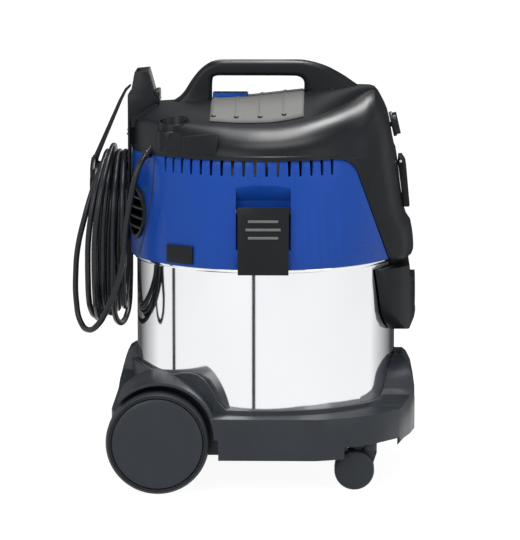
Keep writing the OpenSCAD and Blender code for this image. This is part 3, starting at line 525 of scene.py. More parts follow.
def makeDrum():
    r, low, top, wall, corner = (drum[k] for k in ("radius", "floor", "top", "wall", "corner"))

    def cornerArc(radius, start, stop):
        angles = [math.radians(start + (stop - start) * k / 8) for k in range(9)]
        return [(r - corner + radius * math.sin(a), low + corner - radius * math.cos(a)) for a in angles]

    bead = [(r + out, top - down) for out, down in drum["bead"]]
    profile = [(0.0, low), *cornerArc(corner, 0, 90), (r, low + corner + 1.5), (r, top - 7.5), *bead,
               (r - wall, top - 1), (r - wall, low + corner + 1.5), *cornerArc(corner - wall, 90, 0),
               (0.0, low + wall)]
    shape = turned(profile, place(0, 0, 0), steps=drum["steps"])
    bmesh.ops.recalc_face_normals(shape, faces=shape.faces)
    height, screwHole = drum["inletHeight"], ringOutline(drum["screwRadius"], 12)
    cutOpening(shape, place(r, 0, height), (1, 0, 0), ringOutline(drum["inletRadius"]))
    for y, z in drum["screwSpots"]:
        cutOpening(shape, place(r, y, height + z), (1, 0, 0), screwHole)
    finishPiece(shape, "drum_body", "trolley", "drum_steel", ("drum",), recalculate=False)


makeDrum()
print("drum done")

# cover and front panel, one skin
cover = {"radius": 157.5, "bottom": 378.0, "front": 152.0, "corner": 83.6, "rimStation": 89.8,
         "rimHeight": 4.4, "rimOut": 1.3, "rimWidth": 5.5, "rimBlend": 0.9, "wall": 3.0, "groove": 0.7,
         "grooveStop": 14.0, "crease": 0.985, "crestRows": 13, "topRows": 13, "lowRise": 12.0,
         "crown": {"top": 450.5, "level": 435.7, "bend": -16.0, "fore": 0.118, "aft": 0.043,
                   "noseFrom": 126.0, "tailFrom": -128.0, "tail": 0.6},
         "nose": [(126, 450.5), (131, 446), (135.4, 438.5), (143.5, 421), (149.6, 390), (152, 379)],
         "crestHeights": [(-157, 411), (-128, 415.4), (-114, 415.4), (-89, 414.4), (-59, 413.2), (-27, 411.8),
                          (3, 412), (27, 414.5), (52, 419.5), (76.5, 426), (89, 430.5), (101.6, 436.5),
                          (111.6, 441.8), (126, 446.6), (131, 443.5), (135.4, 436.5), (143.5, 419.5),
                          (149.6, 389), (152, 378.9)],
         "crestShares": [(-157, 0.68), (3, 0.665), (27, 0.635), (52, 0.58), (76.5, 0.472), (89, 0.395),
                         (101.6, 0.3), (111.6, 0.21), (126, 0.13), (140, 0.08), (152, 0.06)],
         "frontPlan": [(92, 127.8), (103.6, 119.4), (120, 109.4), (135.2, 97.0), (144, 78.0), (149, 58.8),
                       (152, 36.8)],
         # stations from the rear: listed ones, then first, step and count, then the listed front ones
         "behind": (-157.3, -156, -153.5, -150, -145.5, -140, -134), "between": (-127.0, 7.02, 30),
         "ahead": (83.6, 86.2, 88.6, 89.8, 93, 98, 104, 110, 116, 122, 128, 132.5, 136.5, 140, 143, 145.5,
                   147.5, 149.2, 150.4, 151.3, 152),
         # front panel: its leaning rear edge, the round corner of the blue band, its face and its rows
         "lean": {"x": 143.7, "z": 256.0, "rate": 0.345, "cosine": 0.945}, "bandCorner": 18.0,
         "face": [(243, 156), (250, 171), (259, 174), (288, 171), (300, 164), (310, 162), (368, 153.6),
                  (378, 152)],
         "panelRows": (376.8, 375.5, 374, 371.5, 368, 364, 360, 352, 340, 325, 313, 305, 297, 290, 280, 270,
                       262, 257, 252, 247.5, 246),
         "panelRadius": 159.2, "bulge": 1.2, "dullBelow": 1.5,
         # openings: place of the centre, then radius and lowest edge, radius, or half length and half width
         "holder": (-105.0, 86.0, 400.0, 18.0, 383.4), "socket": (155.0, 338.0, 24.3),
         "button": (-41.75, 435.0, 22.0, 10.6)}


def coverStations():
    start, step, count = cover["between"]
    return [*cover["behind"], *(start + step * k for k in range(count)), *cover["ahead"]]


def coverHalf(x):
    table = cover["frontPlan"]
    return math.sqrt(cover["radius"] ** 2 - x * x) if x < table[0][0] else smoothTable(table, x)


def crownHeight(x):
    crown = cover["crown"]
    slope = crown["fore"] if x > crown["bend"] else crown["aft"]
    z = min(crown["top"], crown["level"] + (x - crown["bend"]) * slope)
    if x > crown["noseFrom"]:
        return min(z, smoothTable(cover["nose"], x))
    return z - max(0, crown["tailFrom"] - x) * crown["tail"]


def crestHeight(x):
    return min(smoothTable(cover["crestHeights"], x), crownHeight(x) - 1)


def crestOut(x):
    return smoothTable(cover["crestShares"], x) * coverHalf(x)


def crownRise(x, t):
    # share of the crown's height at share t of the way out; squarer towards the front
    return 1 - abs(t) ** (2 + max(0.0, x - 50) / 20)


def crownAt(x, y):
    return crestHeight(x) + (crownHeight(x) - crestHeight(x)) * crownRise(x, y / crestOut(x))


def panelLean(z):
    lean = cover["lean"]
    return lean["x"] - lean["rate"] * (z - lean["z"])


def panelBack(z):
    corner = cover["bandCorner"]
    up = max(0.0, min(corner, z - cover["bottom"] + corner))
    return panelLean(z) - corner + math.sqrt(corner ** 2 - up ** 2)


def rimDistance(x, z):
    # how far a spot on the skin lies from the edge of the blue band
    corner, bottom = cover["bandCorner"], cover["bottom"]
    if z < bottom - corner:
        return (x - panelBack(z)) * cover["lean"]["cosine"]
    middle = panelLean(z) - corner
    return z - bottom if x < middle else math.hypot(x - middle, z - bottom + corner) - corner


def rimPushed(x, y, z):
    share = min(1.0, max(0.0, (cover["rimWidth"] - rimDistance(x, z)) / cover["rimBlend"]))
    grow = 1 + cover["rimOut"] * share / math.hypot(x, y)
    return place(x * grow, y * grow, z)


def coverSpot(x, row):
    # rows run from the bottom edge (0) over the crest to the middle line
    low, crest, half, inner = cover["bottom"], crestHeight(x), coverHalf(x), crestOut(x)
    fixed = (0.0, cover["rimHeight"], cover["rimHeight"] + 0.9)
    rise = max(crest - low, 0.2)
    if row < 3:
        up = min(fixed[row], rise * (0.0, 0.3, 0.4)[row]) if rise < cover["lowRise"] else fixed[row]
        angle = math.asin(min(1.0, up / rise))
    elif row < 3 + cover["crestRows"]:
        start = math.asin(min(1.0, fixed[2] / rise) if rise >= cover["lowRise"] else 0.4)
        angle = start + (math.pi / 2 - start) * (row - 2) / cover["crestRows"]
    else:
        k = row - 3 - cover["crestRows"]
        t = cover["crease"] * (1 - k / (cover["topRows"] - 1))
        groove = cover["groove"] if k == 0 and cover["front"] - x > cover["grooveStop"] else 0.0
        return inner * t, crest + (crownHeight(x) - crest) * crownRise(x, t) - groove
    return inner + (half - inner) * math.cos(angle), low + rise * math.sin(angle)


def panelSpot(station, z):
    back, lean, face = panelBack(z), panelLean(z), smoothTable(cover["face"], z)
    rim = cover["rimStation"] - cover["corner"]
    if station <= cover["rimStation"]:
        x = back + station - cover["corner"]
    else:
        share = (station - cover["rimStation"]) / (cover["front"] - cover["rimStation"])
        x = back + rim + share * (face - back - rim)
    side, rear = (math.sqrt(cover["panelRadius"] ** 2 - v ** 2) - 1.2 for v in (lean, back))
    table = [(back, rear), (max(lean, back) + 2, side - 0.9), ((lean + 2 * face) / 3, side * 0.8),
             (face - 3, side * 0.48), (face, side * 0.3)]
    return x, smoothTable(table, x), side * 0.3


def makeHeadSkin():
    stations = coverStations()
    half = 2 + cover["crestRows"] + cover["topRows"]
    shape = bmesh.new()
    bmesh.ops.create_grid(shape, x_segments=len(stations) - 1, y_segments=2 * half, size=1.0)
    station = shape.verts.layers.float.new("station")
    across = shape.verts.layers.float.new("across")
    for corner in shape.verts:
        x = stations[round((corner.co.x + 1) / 2 * (len(stations) - 1))]
        column = round((corner.co.y + 1) * half)
        side = -1 if column < half else 1
        y, z = coverSpot(x, half - abs(column - half))
        corner[station] = x
        # at the very front, a corner's share of the half width
        corner[across] = side * (y / cover["frontPlan"][-1][1] if x == cover["front"] else 1.0)
        corner.co = rimPushed(x, side * y, z)
    front, lowest = cover["front"], place(0, 0, cover["bottom"] + 0.1).z
    edge = [e for e in boundaryOf(shape)
            if all(v[station] >= cover["corner"] - 0.01 for v in e.verts)
            and (all(v[station] == front for v in e.verts) or all(v.co.z < lowest for v in e.verts))]

    def onPanel(corner, z):
        x, y, flat = panelSpot(corner[station], z)
        if corner[station] == front:
            x, y = x + cover["bulge"] * (1 - corner[across] ** 2), flat
        return rimPushed(x, corner[across] * y, z)

    for z in cover["panelRows"]:
        edge = turnIn(shape, edge, lambda corner: onPanel(corner, z))
    middle = place(0, 0, 0)

    def inwards(corner):
        flat = Vector((corner.co.x - middle.x, corner.co.y, 0))
        return corner.co - flat.normalized() * cover["wall"] * mm

    turnIn(shape, boundaryOf(shape), inwards)
    bmesh.ops.recalc_face_normals(shape, faces=shape.faces)
    x, y, z, radius, low = cover["holder"]
    for side in (-1, 1):
        cutOpening(shape, place(x, side * y, z), (0, 0, 1), ringOutline(radius), low=place(0, 0, low).z)
    x, z, radius = cover["socket"]
    cutOpening(shape, place(x, 0, z), (1, 0, 0), ringOutline(radius))
    x, z, length, width = cover["button"]
    corners = [(-width, -length), (width, -length), (width, length), (-width, length)]
    cutOpening(shape, place(x, 0, z), (0, 0, 1), corners)
    made = finishPiece(shape, "head_skin", "head", "black_plastic", ("top_cover", "front_panel"), sharp=20,
                       recalculate=False)
    made.data.materials.append(materials["crown_plastic"])
    for face in made.data.polygons:
        x, y, z = (v / mm for v in face.center)
        x = max(x - body["ahead"], coverStations()[0])
        if abs(y) < crestOut(x) and z - body["up"] > crestHeight(x) - cover["dullBelow"]:
            face.material_index = 1  # the dull top inside the crease


makeHeadSkin()
print("cover done")

# pieces on the cover
holder = {"x": -105.0, "y": 86.0, "radius": 17.4, "inner": 15.9, "low": 382.2, "high": 416.5, "drain": 6.0,
          "lean": 0.2, "foot": 383.0, "wedge": (-93.0, -54.0), "wedgeRadii": (157.4, 122.0),
          "wedgeTop": (402.0, 407.5), "wedgeLean": 3.4, "wedgeRound": 1.3, "wedgeCells": 10,
          "boss": (-109.5, 92.0, 15.0, 406.0)}


def makeHolders():
    r, inner, low, high = (holder[k] for k in ("radius", "inner", "low", "high"))
    drain = holder["drain"]
    profile = [(drain, low), (r - 0.8, low), (r, low + 0.8), (r, high - 1.4), (r - 0.3, high - 0.4),
               (r - 0.8, high), (inner + 0.4, high), (inner, high - 0.6), (inner, low + 3), (drain, low + 3),
               (drain, low)]
    shape = turned(profile, place(holder["x"], -holder["y"], 0), steps=64)
    for corner in shape.verts:
        if corner.co.z > place(0, 0, holder["high"] - 3).z:
            corner.co.z += holder["lean"] * (corner.co.y + holder["y"] * mm)
    twin = shape.copy()
    bmesh.ops.scale(twin, vec=(1, -1, 1), verts=twin.verts)
    addTo(shape, twin)
    finishPiece(shape, "tube_holder_cups", "head", "black_plastic", ("tube_holders",))


def makeWedges():
    # raised block beside each cup, with a level top and a leaning front end, and a low round boss
    (back, front), (lowTop, highTop), low = holder["wedge"], holder["wedgeTop"], holder["foot"]
    shape = bmesh.new()
    for side in (-1, 1):
        made = bmesh.ops.create_grid(shape, x_segments=holder["wedgeCells"], y_segments=1, size=1.0)["verts"]
        faces = once(f for v in made for f in v.link_faces)
        for corner in made:
            x = back + (front - back) * (corner.co.x + 1) / 2
            radius = holder["wedgeRadii"][0 if corner.co.y < 0 else 1]
            corner.co = place(x, side * math.sqrt(radius ** 2 - x * x), low)
        top = bmesh.ops.extrude_face_region(shape, geom=faces)["geom"]
        for corner in top:
            if isinstance(corner, bmesh.types.BMVert):
                share = (corner.co.x / mm - body["ahead"] - back) / (front - back)
                rise = lowTop + (highTop - lowTop) * share + body["up"]
                lean = holder["wedgeLean"] * share ** 3
                corner.co = Vector((corner.co.x + lean * mm, corner.co.y, rise * mm))
    bmesh.ops.recalc_face_normals(shape, faces=shape.faces)
    bevelEdges(shape, [e for e in shape.edges if e.calc_face_angle(0) > 0.7], holder["wedgeRound"])
    x, y, r, top = holder["boss"]
    profile = [(0.0, low), (r, low), (r, top - 3.0), (r - 0.5, top - 1.2), (r - 1.8, top - 0.2),
               (r - 3.0, top), (0.0, top)]
    for side in (-1, 1):
        one = turned(profile, place(x, side * y, 0), steps=64)
        bmesh.ops.recalc_face_normals(one, faces=one.faces)
        addTo(shape, one)
    finishPiece(shape, "tube_holder_wedges", "head", "black_plastic", recalculate=False)


pad = {"back": -63.5, "front": 45.5, "inner": 10.9, "share": 0.93, "lift": 0.35, "thick": 2.4, "edge": 1.6,
       "ribs": (-59.0, -32.5, -5.0, 22.5), "ribHeight": 1.0, "ribWidth": 1.5, "ribEnd": 4.0,
       "cells": (130, 26), "studIn": 8.5, "studRoom": 10.5,
       "footStuds": ((52.0, 19.5), (78.0, 19.5)),
       "stud": [(0.0, -0.9), (1.5, -0.9), (1.8, 0.9), (2.4, 1.2), (3.0, 0.9), (3.3, -1.5)]}


def makePad():
    shape, (columns, rows) = bmesh.new(), pad["cells"]
    for side in (-1, 1):
        made = bmesh.ops.create_grid(shape, x_segments=columns, y_segments=rows, size=1.0)["verts"]
        edges = once(e for v in made for e in v.link_edges if len(e.link_faces) == 1)
        for corner in made:
            x = pad["back"] + (pad["front"] - pad["back"]) * (corner.co.x + 1) / 2
            share = (corner.co.y + 1) / 2
            edge = pad["share"] * crestOut(x)
            y = pad["inner"] + (edge - pad["inner"]) * share
            ridge = max(math.exp(-((x - rib) / pad["ribWidth"]) ** 2) for rib in pad["ribs"])
            ridge *= min(1.0, max(0.0, (edge - pad["studRoom"] - y) / pad["ribEnd"]))
            inset = min(x - pad["back"], pad["front"] - x, edge - y, y - pad["inner"])
            soft = pad["edge"] * max(0.0, 1 - inset / 3) ** 2
            z = crownAt(x, y) + pad["lift"] + pad["thick"] + ridge * pad["ribHeight"] - soft
            corner.co = place(x, side * y, z)
        down = Vector((0, 0, (pad["thick"] - pad["edge"]) * mm))
        turnIn(shape, edges, lambda corner: corner.co - down)
    finishPiece(shape, "ribbed_mat", "head", "grey_mat", ("top_pad",), sharp=50)
    studs = bmesh.new()
    spots = [(x, pad["share"] * crestOut(x) - pad["studIn"]) for x in pad["ribs"]] + list(pad["footStuds"])
    for x, y in spots:
        for side in (-1, 1):
            top = crownAt(x, y) + (pad["thick"] if x < pad["front"] else 0.0)
            addTo(studs, turned(pad["stud"], place(x, side * y, top), steps=16))
    finishPiece(studs, "mat_studs", "head", "black_plastic", sharp=50)


# from the rear foot over the bar to the front foot: outer x and z, inner x and z, half width
handle = {"round": 0.52, "around": 48, "between": 3, "stations": [
    (-111.5, 429.5, -63, 429.5, 17.5), (-107.5, 432.6, -63.4, 434.5, 16.8),
    (-102, 436.3, -63.5, 439, 16.3), (-96, 443, -63.5, 444, 16), (-90, 452.5, -63.4, 450, 16),
    (-84, 461, -63, 455.5, 16), (-77.5, 468.3, -61.6, 459.8, 16), (-70, 474.3, -59.2, 461, 16),
    (-62, 478.2, -55, 461.6, 16), (-52, 479.8, -49, 461.6, 16), (-20, 480, -20, 461.6, 16),
    (10, 480, 10, 461.6, 16), (33, 480, 34, 461.4, 16), (43, 479.6, 39.2, 460.4, 16),
    (53, 478, 42.7, 458.2, 16), (63, 475.4, 44.6, 455.4, 16), (73, 471.9, 45.2, 452, 16),
    (83, 466.8, 45.2, 448.6, 16), (93, 461, 45, 445.2, 16), (102, 454.8, 45.6, 442, 16.2),
    (109, 449.6, 45.2, 439, 16.6), (110.5, 446, 45, 436.5, 16.8)]}


def makeHandle():
    stations, count, between = handle["stations"], handle["around"], handle["between"]
    tables = [[(k, station[i]) for k, station in enumerate(stations)] for i in range(5)]
    shape = bmesh.new()
    rings = []
    for step in range(between * (len(stations) - 1) + 1):
        ox, oz, ix, iz, half = (smoothTable(table, step / between) for table in tables)
        ring = []
        for c, s in ringOutline(1.0, count):
            c, s = (math.copysign(abs(v) ** handle["round"], v) for v in (c, s))
            x, z = (ox + ix + (ox - ix) * c) / 2, (oz + iz + (oz - iz) * c) / 2
            ring.append(shape.verts.new(place(x, half * s, z)))
        rings.append(ring)
    for a, b in zip(rings, rings[1:]):
        for k in range(count):
            shape.faces.new((a[k], a[(k + 1) % count], b[(k + 1) % count], b[k]))
    for ring in (rings[0], rings[-1]):
        shape.faces.new(ring)
    finishPiece(shape, "carry_handle_body", "head", "black_plastic", ("carry_handle",), sharp=40)


makeHolders()
makeWedges()
makePad()
makeHandle()
print("cover fittings done")

# blue band
band = {"topEdge": 374.8, "high": 378.0, "outside": 157.6, "slope": 2.4, "round": 0.45}


def makeBand():
    shape = copyOf("side_band", flat=True)
    bmesh.ops.bisect_plane(shape, geom=shape.verts[:] + shape.edges[:] + shape.faces[:], dist=1e-6,
                           plane_co=place(0, 0, band["topEdge"]), plane_no=(0, 0, 1))
    middle, steep = place(0, 0, 0), band["slope"] / (band["high"] - band["topEdge"])
    for corner in shape.verts:
        flat = Vector((corner.co.x - middle.x, corner.co.y, 0))
        rise = (corner.co.z - middle.z) / mm - band["topEdge"]
        if rise > 0.05 and flat.length > band["outside"] * mm:
            corner.co -= flat.normalized() * steep * mm * rise
    roundEdges(shape, band["round"], 32)
    finishPiece(shape, "side_band_body", "head", "blue_plastic", ("side_band",), recalculate=False)


makeBand()
print("band done")

# wheels
wheel = {"x": -121.0, "z": 59.5, "steps": 128,
         "tyre": [(50.6, 157.2), (56.2, 157.2), (57.8, 157.9), (59.0, 159.2), (59.5, 161.0), (59.5, 178.0),
                  (59.35, 180.0), (58.9, 182.0), (58.1, 183.8), (57.1, 185.2), (56.2, 185.9), (55.5, 185.6),
                  (55.1, 184.4), (54.7, 185.7), (54.2, 186.2), (53.6, 186.0), (53.2, 185.0), (53.2, 182.0),
                  (50.6, 182.0), (50.6, 157.2)],
         "disc": [(0.0, 187.9), (30.0, 187.75), (46.0, 187.3), (50.2, 187.0), (51.5, 186.4), (52.2, 185.4),
                  (52.4, 184.0), (52.4, 182.1), (50.9, 182.1), (50.9, 186.2), (0.0, 186.6)]}

caster = {"x": 105.0, "y": 140.0, "z": 23.0,
          "disc": [(0.0, 14.8), (17.6, 14.6), (18.4, 14.1), (19.2, 14.4), (20.8, 14.0), (22.0, 13.2),
                   (22.7, 12.2), (23.0, 11.0), (23.0, 6.6), (22.6, 5.2), (21.4, 4.3), (20.0, 4.0),
                   (3.05, 4.0), (3.05, 12.2), (0.0, 12.2)]}


sides = ((-1, "right"), (1, "left"))


def addTurned(shape, profile, centre, side, steps, axis="Y"):
    # profile on the given side of its centre
    addTo(shape, turned([(r, side * d) for r, d in profile], centre, axis, steps))


def makeWheels():
    for side, word in sides:
        for key, node, material in (("tyre", "tyre", "tyre_rubber"), ("disc", "cap", "black_plastic")):
            shape, stem = bmesh.new(), word + "_wheel_"
            addTurned(shape, wheel[key], place(wheel["x"], 0, wheel["z"], 0), side, wheel["steps"])
            finishPiece(shape, stem + key, word + "_wheel", material, (stem + node,), sharp=28)
        shape = bmesh.new()
        for outer in (-1, 1):
            centre = place(caster["x"], side * caster["y"], caster["z"], 0)
            addTurned(shape, caster["disc"], centre, outer, 72)
        finishPiece(shape, word + "_caster_discs", word + "_caster_roller", "tyre_rubber",
                    (word + "_caster_wheels",), sharp=28)


makeWheels()
print("wheels done")

# ends of the cord
relief = {"start": (-127.0, -74.0, 390.0), "end": (-138.0, -90.0, 376.0), "wide": 6.3, "narrow": 4.5,
          "ribs": 6, "ribDepth": 0.7, "grooves": (0.45, 0.95), "tip": (3.4, 0.6)}


def makeRelief():
    start, end = place(*relief["start"]), place(*relief["end"])
    length = (end - start).length / mm
    profile = [(0.0, 0.0), (relief["wide"], 0.0)]
    for k in range(relief["ribs"]):
        near, far = ((k + s) / relief["ribs"] for s in relief["grooves"])
        size = [relief["wide"] + (relief["narrow"] - relief["wide"]) * s for s in (near, far)]
        groove = [(size[0] - relief["ribDepth"], (near + 0.06) * length),
                  (size[1] - relief["ribDepth"], (far - 0.05) * length)]
        profile += [(size[0], near * length), *groove, (size[1], far * length)]
    radius, out = relief["tip"]
    profile += [(relief["narrow"], length), (radius, length + out), (0.0, length + out)]
    shape = turned(profile, Vector(), steps=24)
    turn = (end - start).to_track_quat("Z", "Y").to_matrix().to_4x4()
    bmesh.ops.transform(shape, matrix=Matrix.Translation(start) @ turn, verts=shape.verts)
    finishPiece(shape, "strain_relief", "head", "cord_rubber", ("cord_gland",), sharp=50)


plug = {"x": -184.0, "y": 90.0, "pinGap": 9.5,
        "body": [(0.0, 262.4), (3.4, 262.4), (4.6, 262.0), (5.0, 258.0), (6.8, 243.0), (8.6, 240.8),
                 (12.0, 239.6), (13.2, 238.2), (13.5, 236.0), (13.5, 232.5), (12.7, 231.0), (12.7, 227.5),
                 (13.5, 226.0), (13.5, 222.5), (12.7, 221.0), (12.7, 217.5), (13.5, 216.0), (13.5, 207.6),
                 (12.9, 206.4), (12.0, 206.0), (0.0, 206.0)],
        "pin": [(0.0, 206.6), (2.4, 206.6), (2.4, 189.0), (2.0, 187.6), (1.0, 187.0), (0.0, 187.0)]}


def makePlug():
    shape = turned(plug["body"], place(plug["x"], plug["y"], 0), steps=48)
    finishPiece(shape, "plug_body", "head", "plug_plastic", ("mains_plug",), sharp=50)
    pins = bmesh.new()
    for side in (-1, 1):
        addTo(pins, turned(plug["pin"], place(plug["x"] + side * plug["pinGap"], plug["y"], 0), steps=20))
    finishPiece(pins, "plug_pins", "head", "bare_steel", sharp=50)


makeRelief()
makePlug()
print("cord ends done")

# remaining rigid parts, with rounded edges
# width of the round in mm at the sharp edges of each node
rounded = {
    "trolley_base": 2.2, "tank_clamps": 0.6, "inlet_housing": 1.8, "inlet_deflector": 0.6,
    "right_wheel_rim": 0.6, "left_wheel_rim": 0.6, "right_caster_fork": 0.8, "left_caster_fork": 0.8,
    "head_base": 0.5, "blower_port": 0.6, "band_clips": 0.9, "cord_bracket": 1.0, "switch_body": 0.5,
    "socket_body": 0.5, "right_latch": 0.7, "left_latch": 0.7, "switch_knob": 0.6, "socket_flap": 1.2,
    "cord_strap": 1.0, "filter_cage": 0.5, "float_ball": 0.0, "impeller": 0.0, "motor_shaft": 0.0,
    "caster_sockets": 0.5, "wheel_axles": 0.4, "axle_clips": 0.3, "inlet_screws": 0.25,
    "right_caster_axle": 0.3, "left_caster_axle": 0.3, "bracket_screws": 0.25, "housing_screws": 0.25,
    "filter_plate": 0.4, "motor_can": 0.4, "fan_housing": 0.4}


def makeRounded():
    bodies = frame["record"]["behaviour"]["bodies"]
    slots = {part["node"]: part["material_slot"] for part in frame["record"]["subparts"]}
    for node, width in rounded.items():
        shape = copyOf(node, flat=True)
        roundEdges(shape, width, 28)
        rider = next(name for name, nodes in bodies.items() if node in nodes)
        finishPiece(shape, node + "_body", rider, slots[node], (node,), recalculate=False)


makeRounded()
print("rounded parts done")

# small pieces on the head
# blocks are given by x from and to, half depth, z from and to
details = {"button": (-62.5, -21.0, 10.0, 433.4, 441.5), "seat": (-158.6, -126.0, 29.4, 402.0, 431.0),
           "lug": (-130.5, -125.0, 26.0, 430.0, 444.5), "ring": (29.1, 31.3, 4.7), "pivot": (150.0, 318.0),
           "stops": ((92.5, 116.5, 130.0, 152.0, 45.2, 57.5), (92.5, 97.5, 130.0, 152.0, 40.9, 49.5)),
           "springFoot": 0.4102, "press": 3.5 * mm,
           "ribs": ((291.0, 17.3), (300.5, 20.0), (310.0, 17.3)), "ribFace": (167.8, 168.9, 1.5)}
# dark strip down the rear of the band, the painted shade in the groove at the parting line: x at each height,
# as (-z, x)
parting = {"radius": 164.148, "half": 0.65, "from": 376.0, "to": 258.0, "steps": 24, "narrowing": 0.016,
           "line": [(-376, -127.0), (-335, -130.0), (-296, -137.0), (-258, -147.0)]}


def blockShape(x0, x1, half, z0, z1, bevel, middle=0.0):
    shape = bmesh.new()
    bmesh.ops.create_cube(shape, size=1.0)
    for corner in shape.verts:
        x, y, z = corner.co
        corner.co = place(x0 + (x1 - x0) * (x + 0.5), middle + 2 * half * y, z0 + (z1 - z0) * (z + 0.5))
    bevelEdges(shape, shape.edges[:], bevel)
    return shape


def makeButton():
    shape = copyOf("clean_button")
    addTo(shape, blockShape(*details["button"], 1.0))
    finishPiece(shape, "clean_button_body", "button", "blue_plastic", ("clean_button",), recalculate=False)


def makeSeat():
    shape = blockShape(*details["seat"], 1.0)
    addTo(shape, blockShape(*details["lug"], 1.4))
    finishPiece(shape, "bracket_seat", "head", "black_plastic", recalculate=False)


def makeRings():
    inner, outer, radius = details["ring"]
    profile = [(0.0, inner), (radius, inner), (radius, outer - 0.5), (radius - 0.5, outer), (0.0, outer)]
    out, height = details["pivot"]
    for side, word in sides:
        shape = bmesh.new()
        for end in (-1, 1):
            addTurned(shape, profile, place(0, side * out, height), end, 24, "X")
        finishPiece(shape, word + "_latch_rings", word + "_latch_lever", "black_plastic")


def makeRibs():
    # three bars on the face of each latch, light grey instead of black: a painted highlight along the ribs
    inner, outer, half = details["ribFace"]
    for side, word in sides:
        shape = bmesh.new()
        for height, length in details["ribs"]:
            addTo(shape, blockShape(-length, length, (outer - inner) / 2, height - half, height + half, 0.5,
                                    side * (inner + outer) / 2))
        made = finishPiece(shape, word + "_latch_ribs_painted_highlight", word + "_latch_lever", "black_plastic")
        # light grey stands in for the highlight on the ribs: painted highlight
        dress(made, "grey_mat")


def makeStops():
    # stop behind each caster's swivel, under the trolley's edge
    shape = bmesh.new()
    for x0, x1, inner, outer, z0, z1 in details["stops"]:
        for side in (-1, 1):
            addTo(shape, blockShape(x0, x1, (outer - inner) / 2, z0, z1, 1.0, side * (inner + outer) / 2))
    finishPiece(shape, "caster_stops", "trolley", "black_plastic")


def makeSpring():
    # the spring under the button, which shortens as the button is pressed, copied onto a mesh of its own;
    # nothing here shortens the copy
    made = finishPiece(copyOf("clean_spring"), "clean_spring_coil", "head", "bare_steel", ("clean_spring",),
                       recalculate=False)
    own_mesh(made)


def makeParting():
    shape, half = bmesh.new(), parting["half"]
    for side in (-1, 1):
        before = None
        for k in range(parting["steps"] + 1):
            z = parting["from"] - (parting["from"] - parting["to"]) * k / parting["steps"]
            x = smoothTable(parting["line"], -z)
            radius = parting["radius"] - parting["narrowing"] * z
            pair = [shape.verts.new(place(v, side * math.sqrt(radius ** 2 - v ** 2), z))
                    for v in (x - half, x + half)]
            if before:
                ring = (*before, pair[1], pair[0])
                shape.faces.new(ring if side < 0 else ring[::-1])
            before = pair
    # dressed in the dark seal rubber: painted shade in the groove of the blue band
    finishPiece(shape, "parting_groove_shade", "head", "seal_rubber", recalculate=False)


makeButton()
makeSeat()
makeRings()
makeRibs()
makeStops()
makeSpring()
makeParting()
print("small pieces done")

tuple(cordPoints()[0])

# studio
studio = {"floorSize": 12.0, "worldLevel": 0.45, "floorColour": (0.86, 0.86, 0.86), "floorGlow": 0.72,
          "floorLight": 1.3, "overheadSize": 3.4, "overheadAt": (0.0, 0.0, 2.5), "cardHeight": 0.9}
white = (1.0, 1.0, 1.0)


def glowing(tree, colour, strength):
    return tree.add("ShaderNodeEmission", {"Color": colour, "Strength": strength})


def seenOrMirrored(tree):
    path = tree.add("ShaderNodeLightPath").outputs
    seen = tree.math("MAXIMUM", path["Is Camera Ray"], path["Is Glossy Ray"])
    return tree.math("MAXIMUM", seen, path["Is Transmission Ray"])


def stagePlane(name, size):
    shape = bmesh.new()
    bmesh.ops.create_grid(shape, x_segments=1, y_segments=1, size=0.5)
    bmesh.ops.scale(shape, vec=(size[0], size[1], 1), verts=shape.verts)
    mesh = bpy.data.meshes.new(name)
    shape.to_mesh(mesh)
    shape.free()
    made = addObject(name, mesh)
    material = bpy.data.materials.new(name)
    material.use_nodes = True
    material.node_tree.nodes.clear()
    mesh.materials.append(material)
    return made, Nodes(material.node_tree)


def onlyMirrored(made):
    made.visible_camera = made.visible_diffuse = made.visible_shadow = made.visible_transmission = False


def makeFloor():
    tree = stagePlane("floor", (studio["floorSize"], studio["floorSize"]))[1]
    matt = tree.add("ShaderNodeBsdfDiffuse", {"Color": studio["floorColour"]}).outputs[0]
    glow = glowing(tree, white, studio["floorLight"]).outputs[0]
    share = tree.math("MULTIPLY", seenOrMirrored(tree), studio["floorGlow"])
    tree.finish(tree.add("ShaderNodeMixShader", {0: share, 1: matt, 2: glow}))


# dark cards round the object, seen only in its polished faces: bearing from the camera's side (degrees to
# the right), distance from the middle, how bright, width in m, and how dense at the left and right edge
cards = {"line_card": (-9.3, 0.55, 0.024, 0.024, (1.0, 1.0)),
         "side_card": (-78.0, 0.52, 0.024, 0.03, (1.0, 1.0)),
         "right_card": (136.0, 0.47, 0.07, 0.8, (0.0, 2.2)),
         "left_card": (-134.0, 0.47, 0.11, 0.66, (2.1, 0.0))}


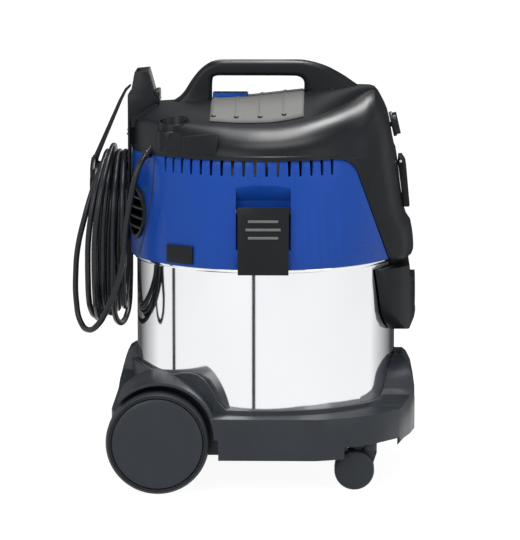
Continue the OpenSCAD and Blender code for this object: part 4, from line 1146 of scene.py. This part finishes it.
def makeCards():
    for name, (bearing, distance, shade, width, ends) in cards.items():
        made, tree = stagePlane(name, (width, studio["cardHeight"]))
        across = tree.add("ShaderNodeSeparateXYZ", {0: tree.object()}).outputs[0]
        dark = tree.ramp(across, -width / 2, width / 2, *ends)
        clear = tree.add("ShaderNodeBsdfTransparent").outputs[0]
        black = glowing(tree, (0.92, 0.94, 1.0), shade).outputs[0]
        tree.finish(tree.add("ShaderNodeMixShader", {0: dark, 1: clear, 2: black}))
        bearing = math.radians(bearing + cameraSetup["azimuth"])
        away, up = Vector((math.sin(bearing), -math.cos(bearing), 0)), Vector((0, 0, 1))
        made.location = away * distance + Vector((body["ahead"] * mm, 0, studio["cardHeight"] / 2))
        turnTo(made, Matrix((up.cross(away), up, away)).transposed().to_quaternion())
        onlyMirrored(made)


def makeOverhead():
    # dark ceiling that only glossy faces see
    made, tree = stagePlane("overhead", (studio["overheadSize"], studio["overheadSize"]))
    tree.finish(glowing(tree, (0.03, 0.032, 0.036), 1.0))
    made.location = studio["overheadAt"]
    onlyMirrored(made)


def makeWorld():
    world = bpy.data.worlds.new("studio")
    bpy.context.scene.world = world
    world.use_nodes = True
    world.node_tree.nodes.clear()
    tree = Nodes(world.node_tree)
    strength = tree.ramp(seenOrMirrored(tree), 0.0, 1.0, studio["worldLevel"], 1.0)
    tree.finish(tree.add("ShaderNodeBackground", {"Color": white, "Strength": strength}), "World")


lamps = [
    {"name": "key", "at": (-1.0, -2.2, 1.5), "size": (1.4, 1.4), "power": 22.0},
    {"name": "fill", "at": (1.7, -1.6, 1.0), "size": (1.0, 1.6), "power": 7.0},
    {"name": "top", "at": (0.15, -0.5, 1.9), "size": (1.0, 0.55), "power": 16.0},
    {"name": "sheen", "at": (0.09, 0.62, 1.9), "size": (0.36, 1.3), "power": 29.0, "glossOnly": True},
]


def makeLamps():
    for lamp in lamps:
        data = bpy.data.lights.new(lamp["name"], "AREA")
        data.shape = "RECTANGLE"
        data.size, data.size_y = lamp["size"]
        data.energy = lamp["power"]
        made = addObject(lamp["name"], data)
        made.location = lamp["at"]
        turnTo(made, (Vector(cameraSetup["target"]) - made.location).to_track_quat("-Z", "Y"))
        made.visible_diffuse = not lamp.get("glossOnly", False)


makeFloor()
makeCards()
makeOverhead()
makeWorld()
makeLamps()
bpy.context.scene.view_settings.view_transform = "Standard"
print("studio done")

bpy.context.view_layer.update()
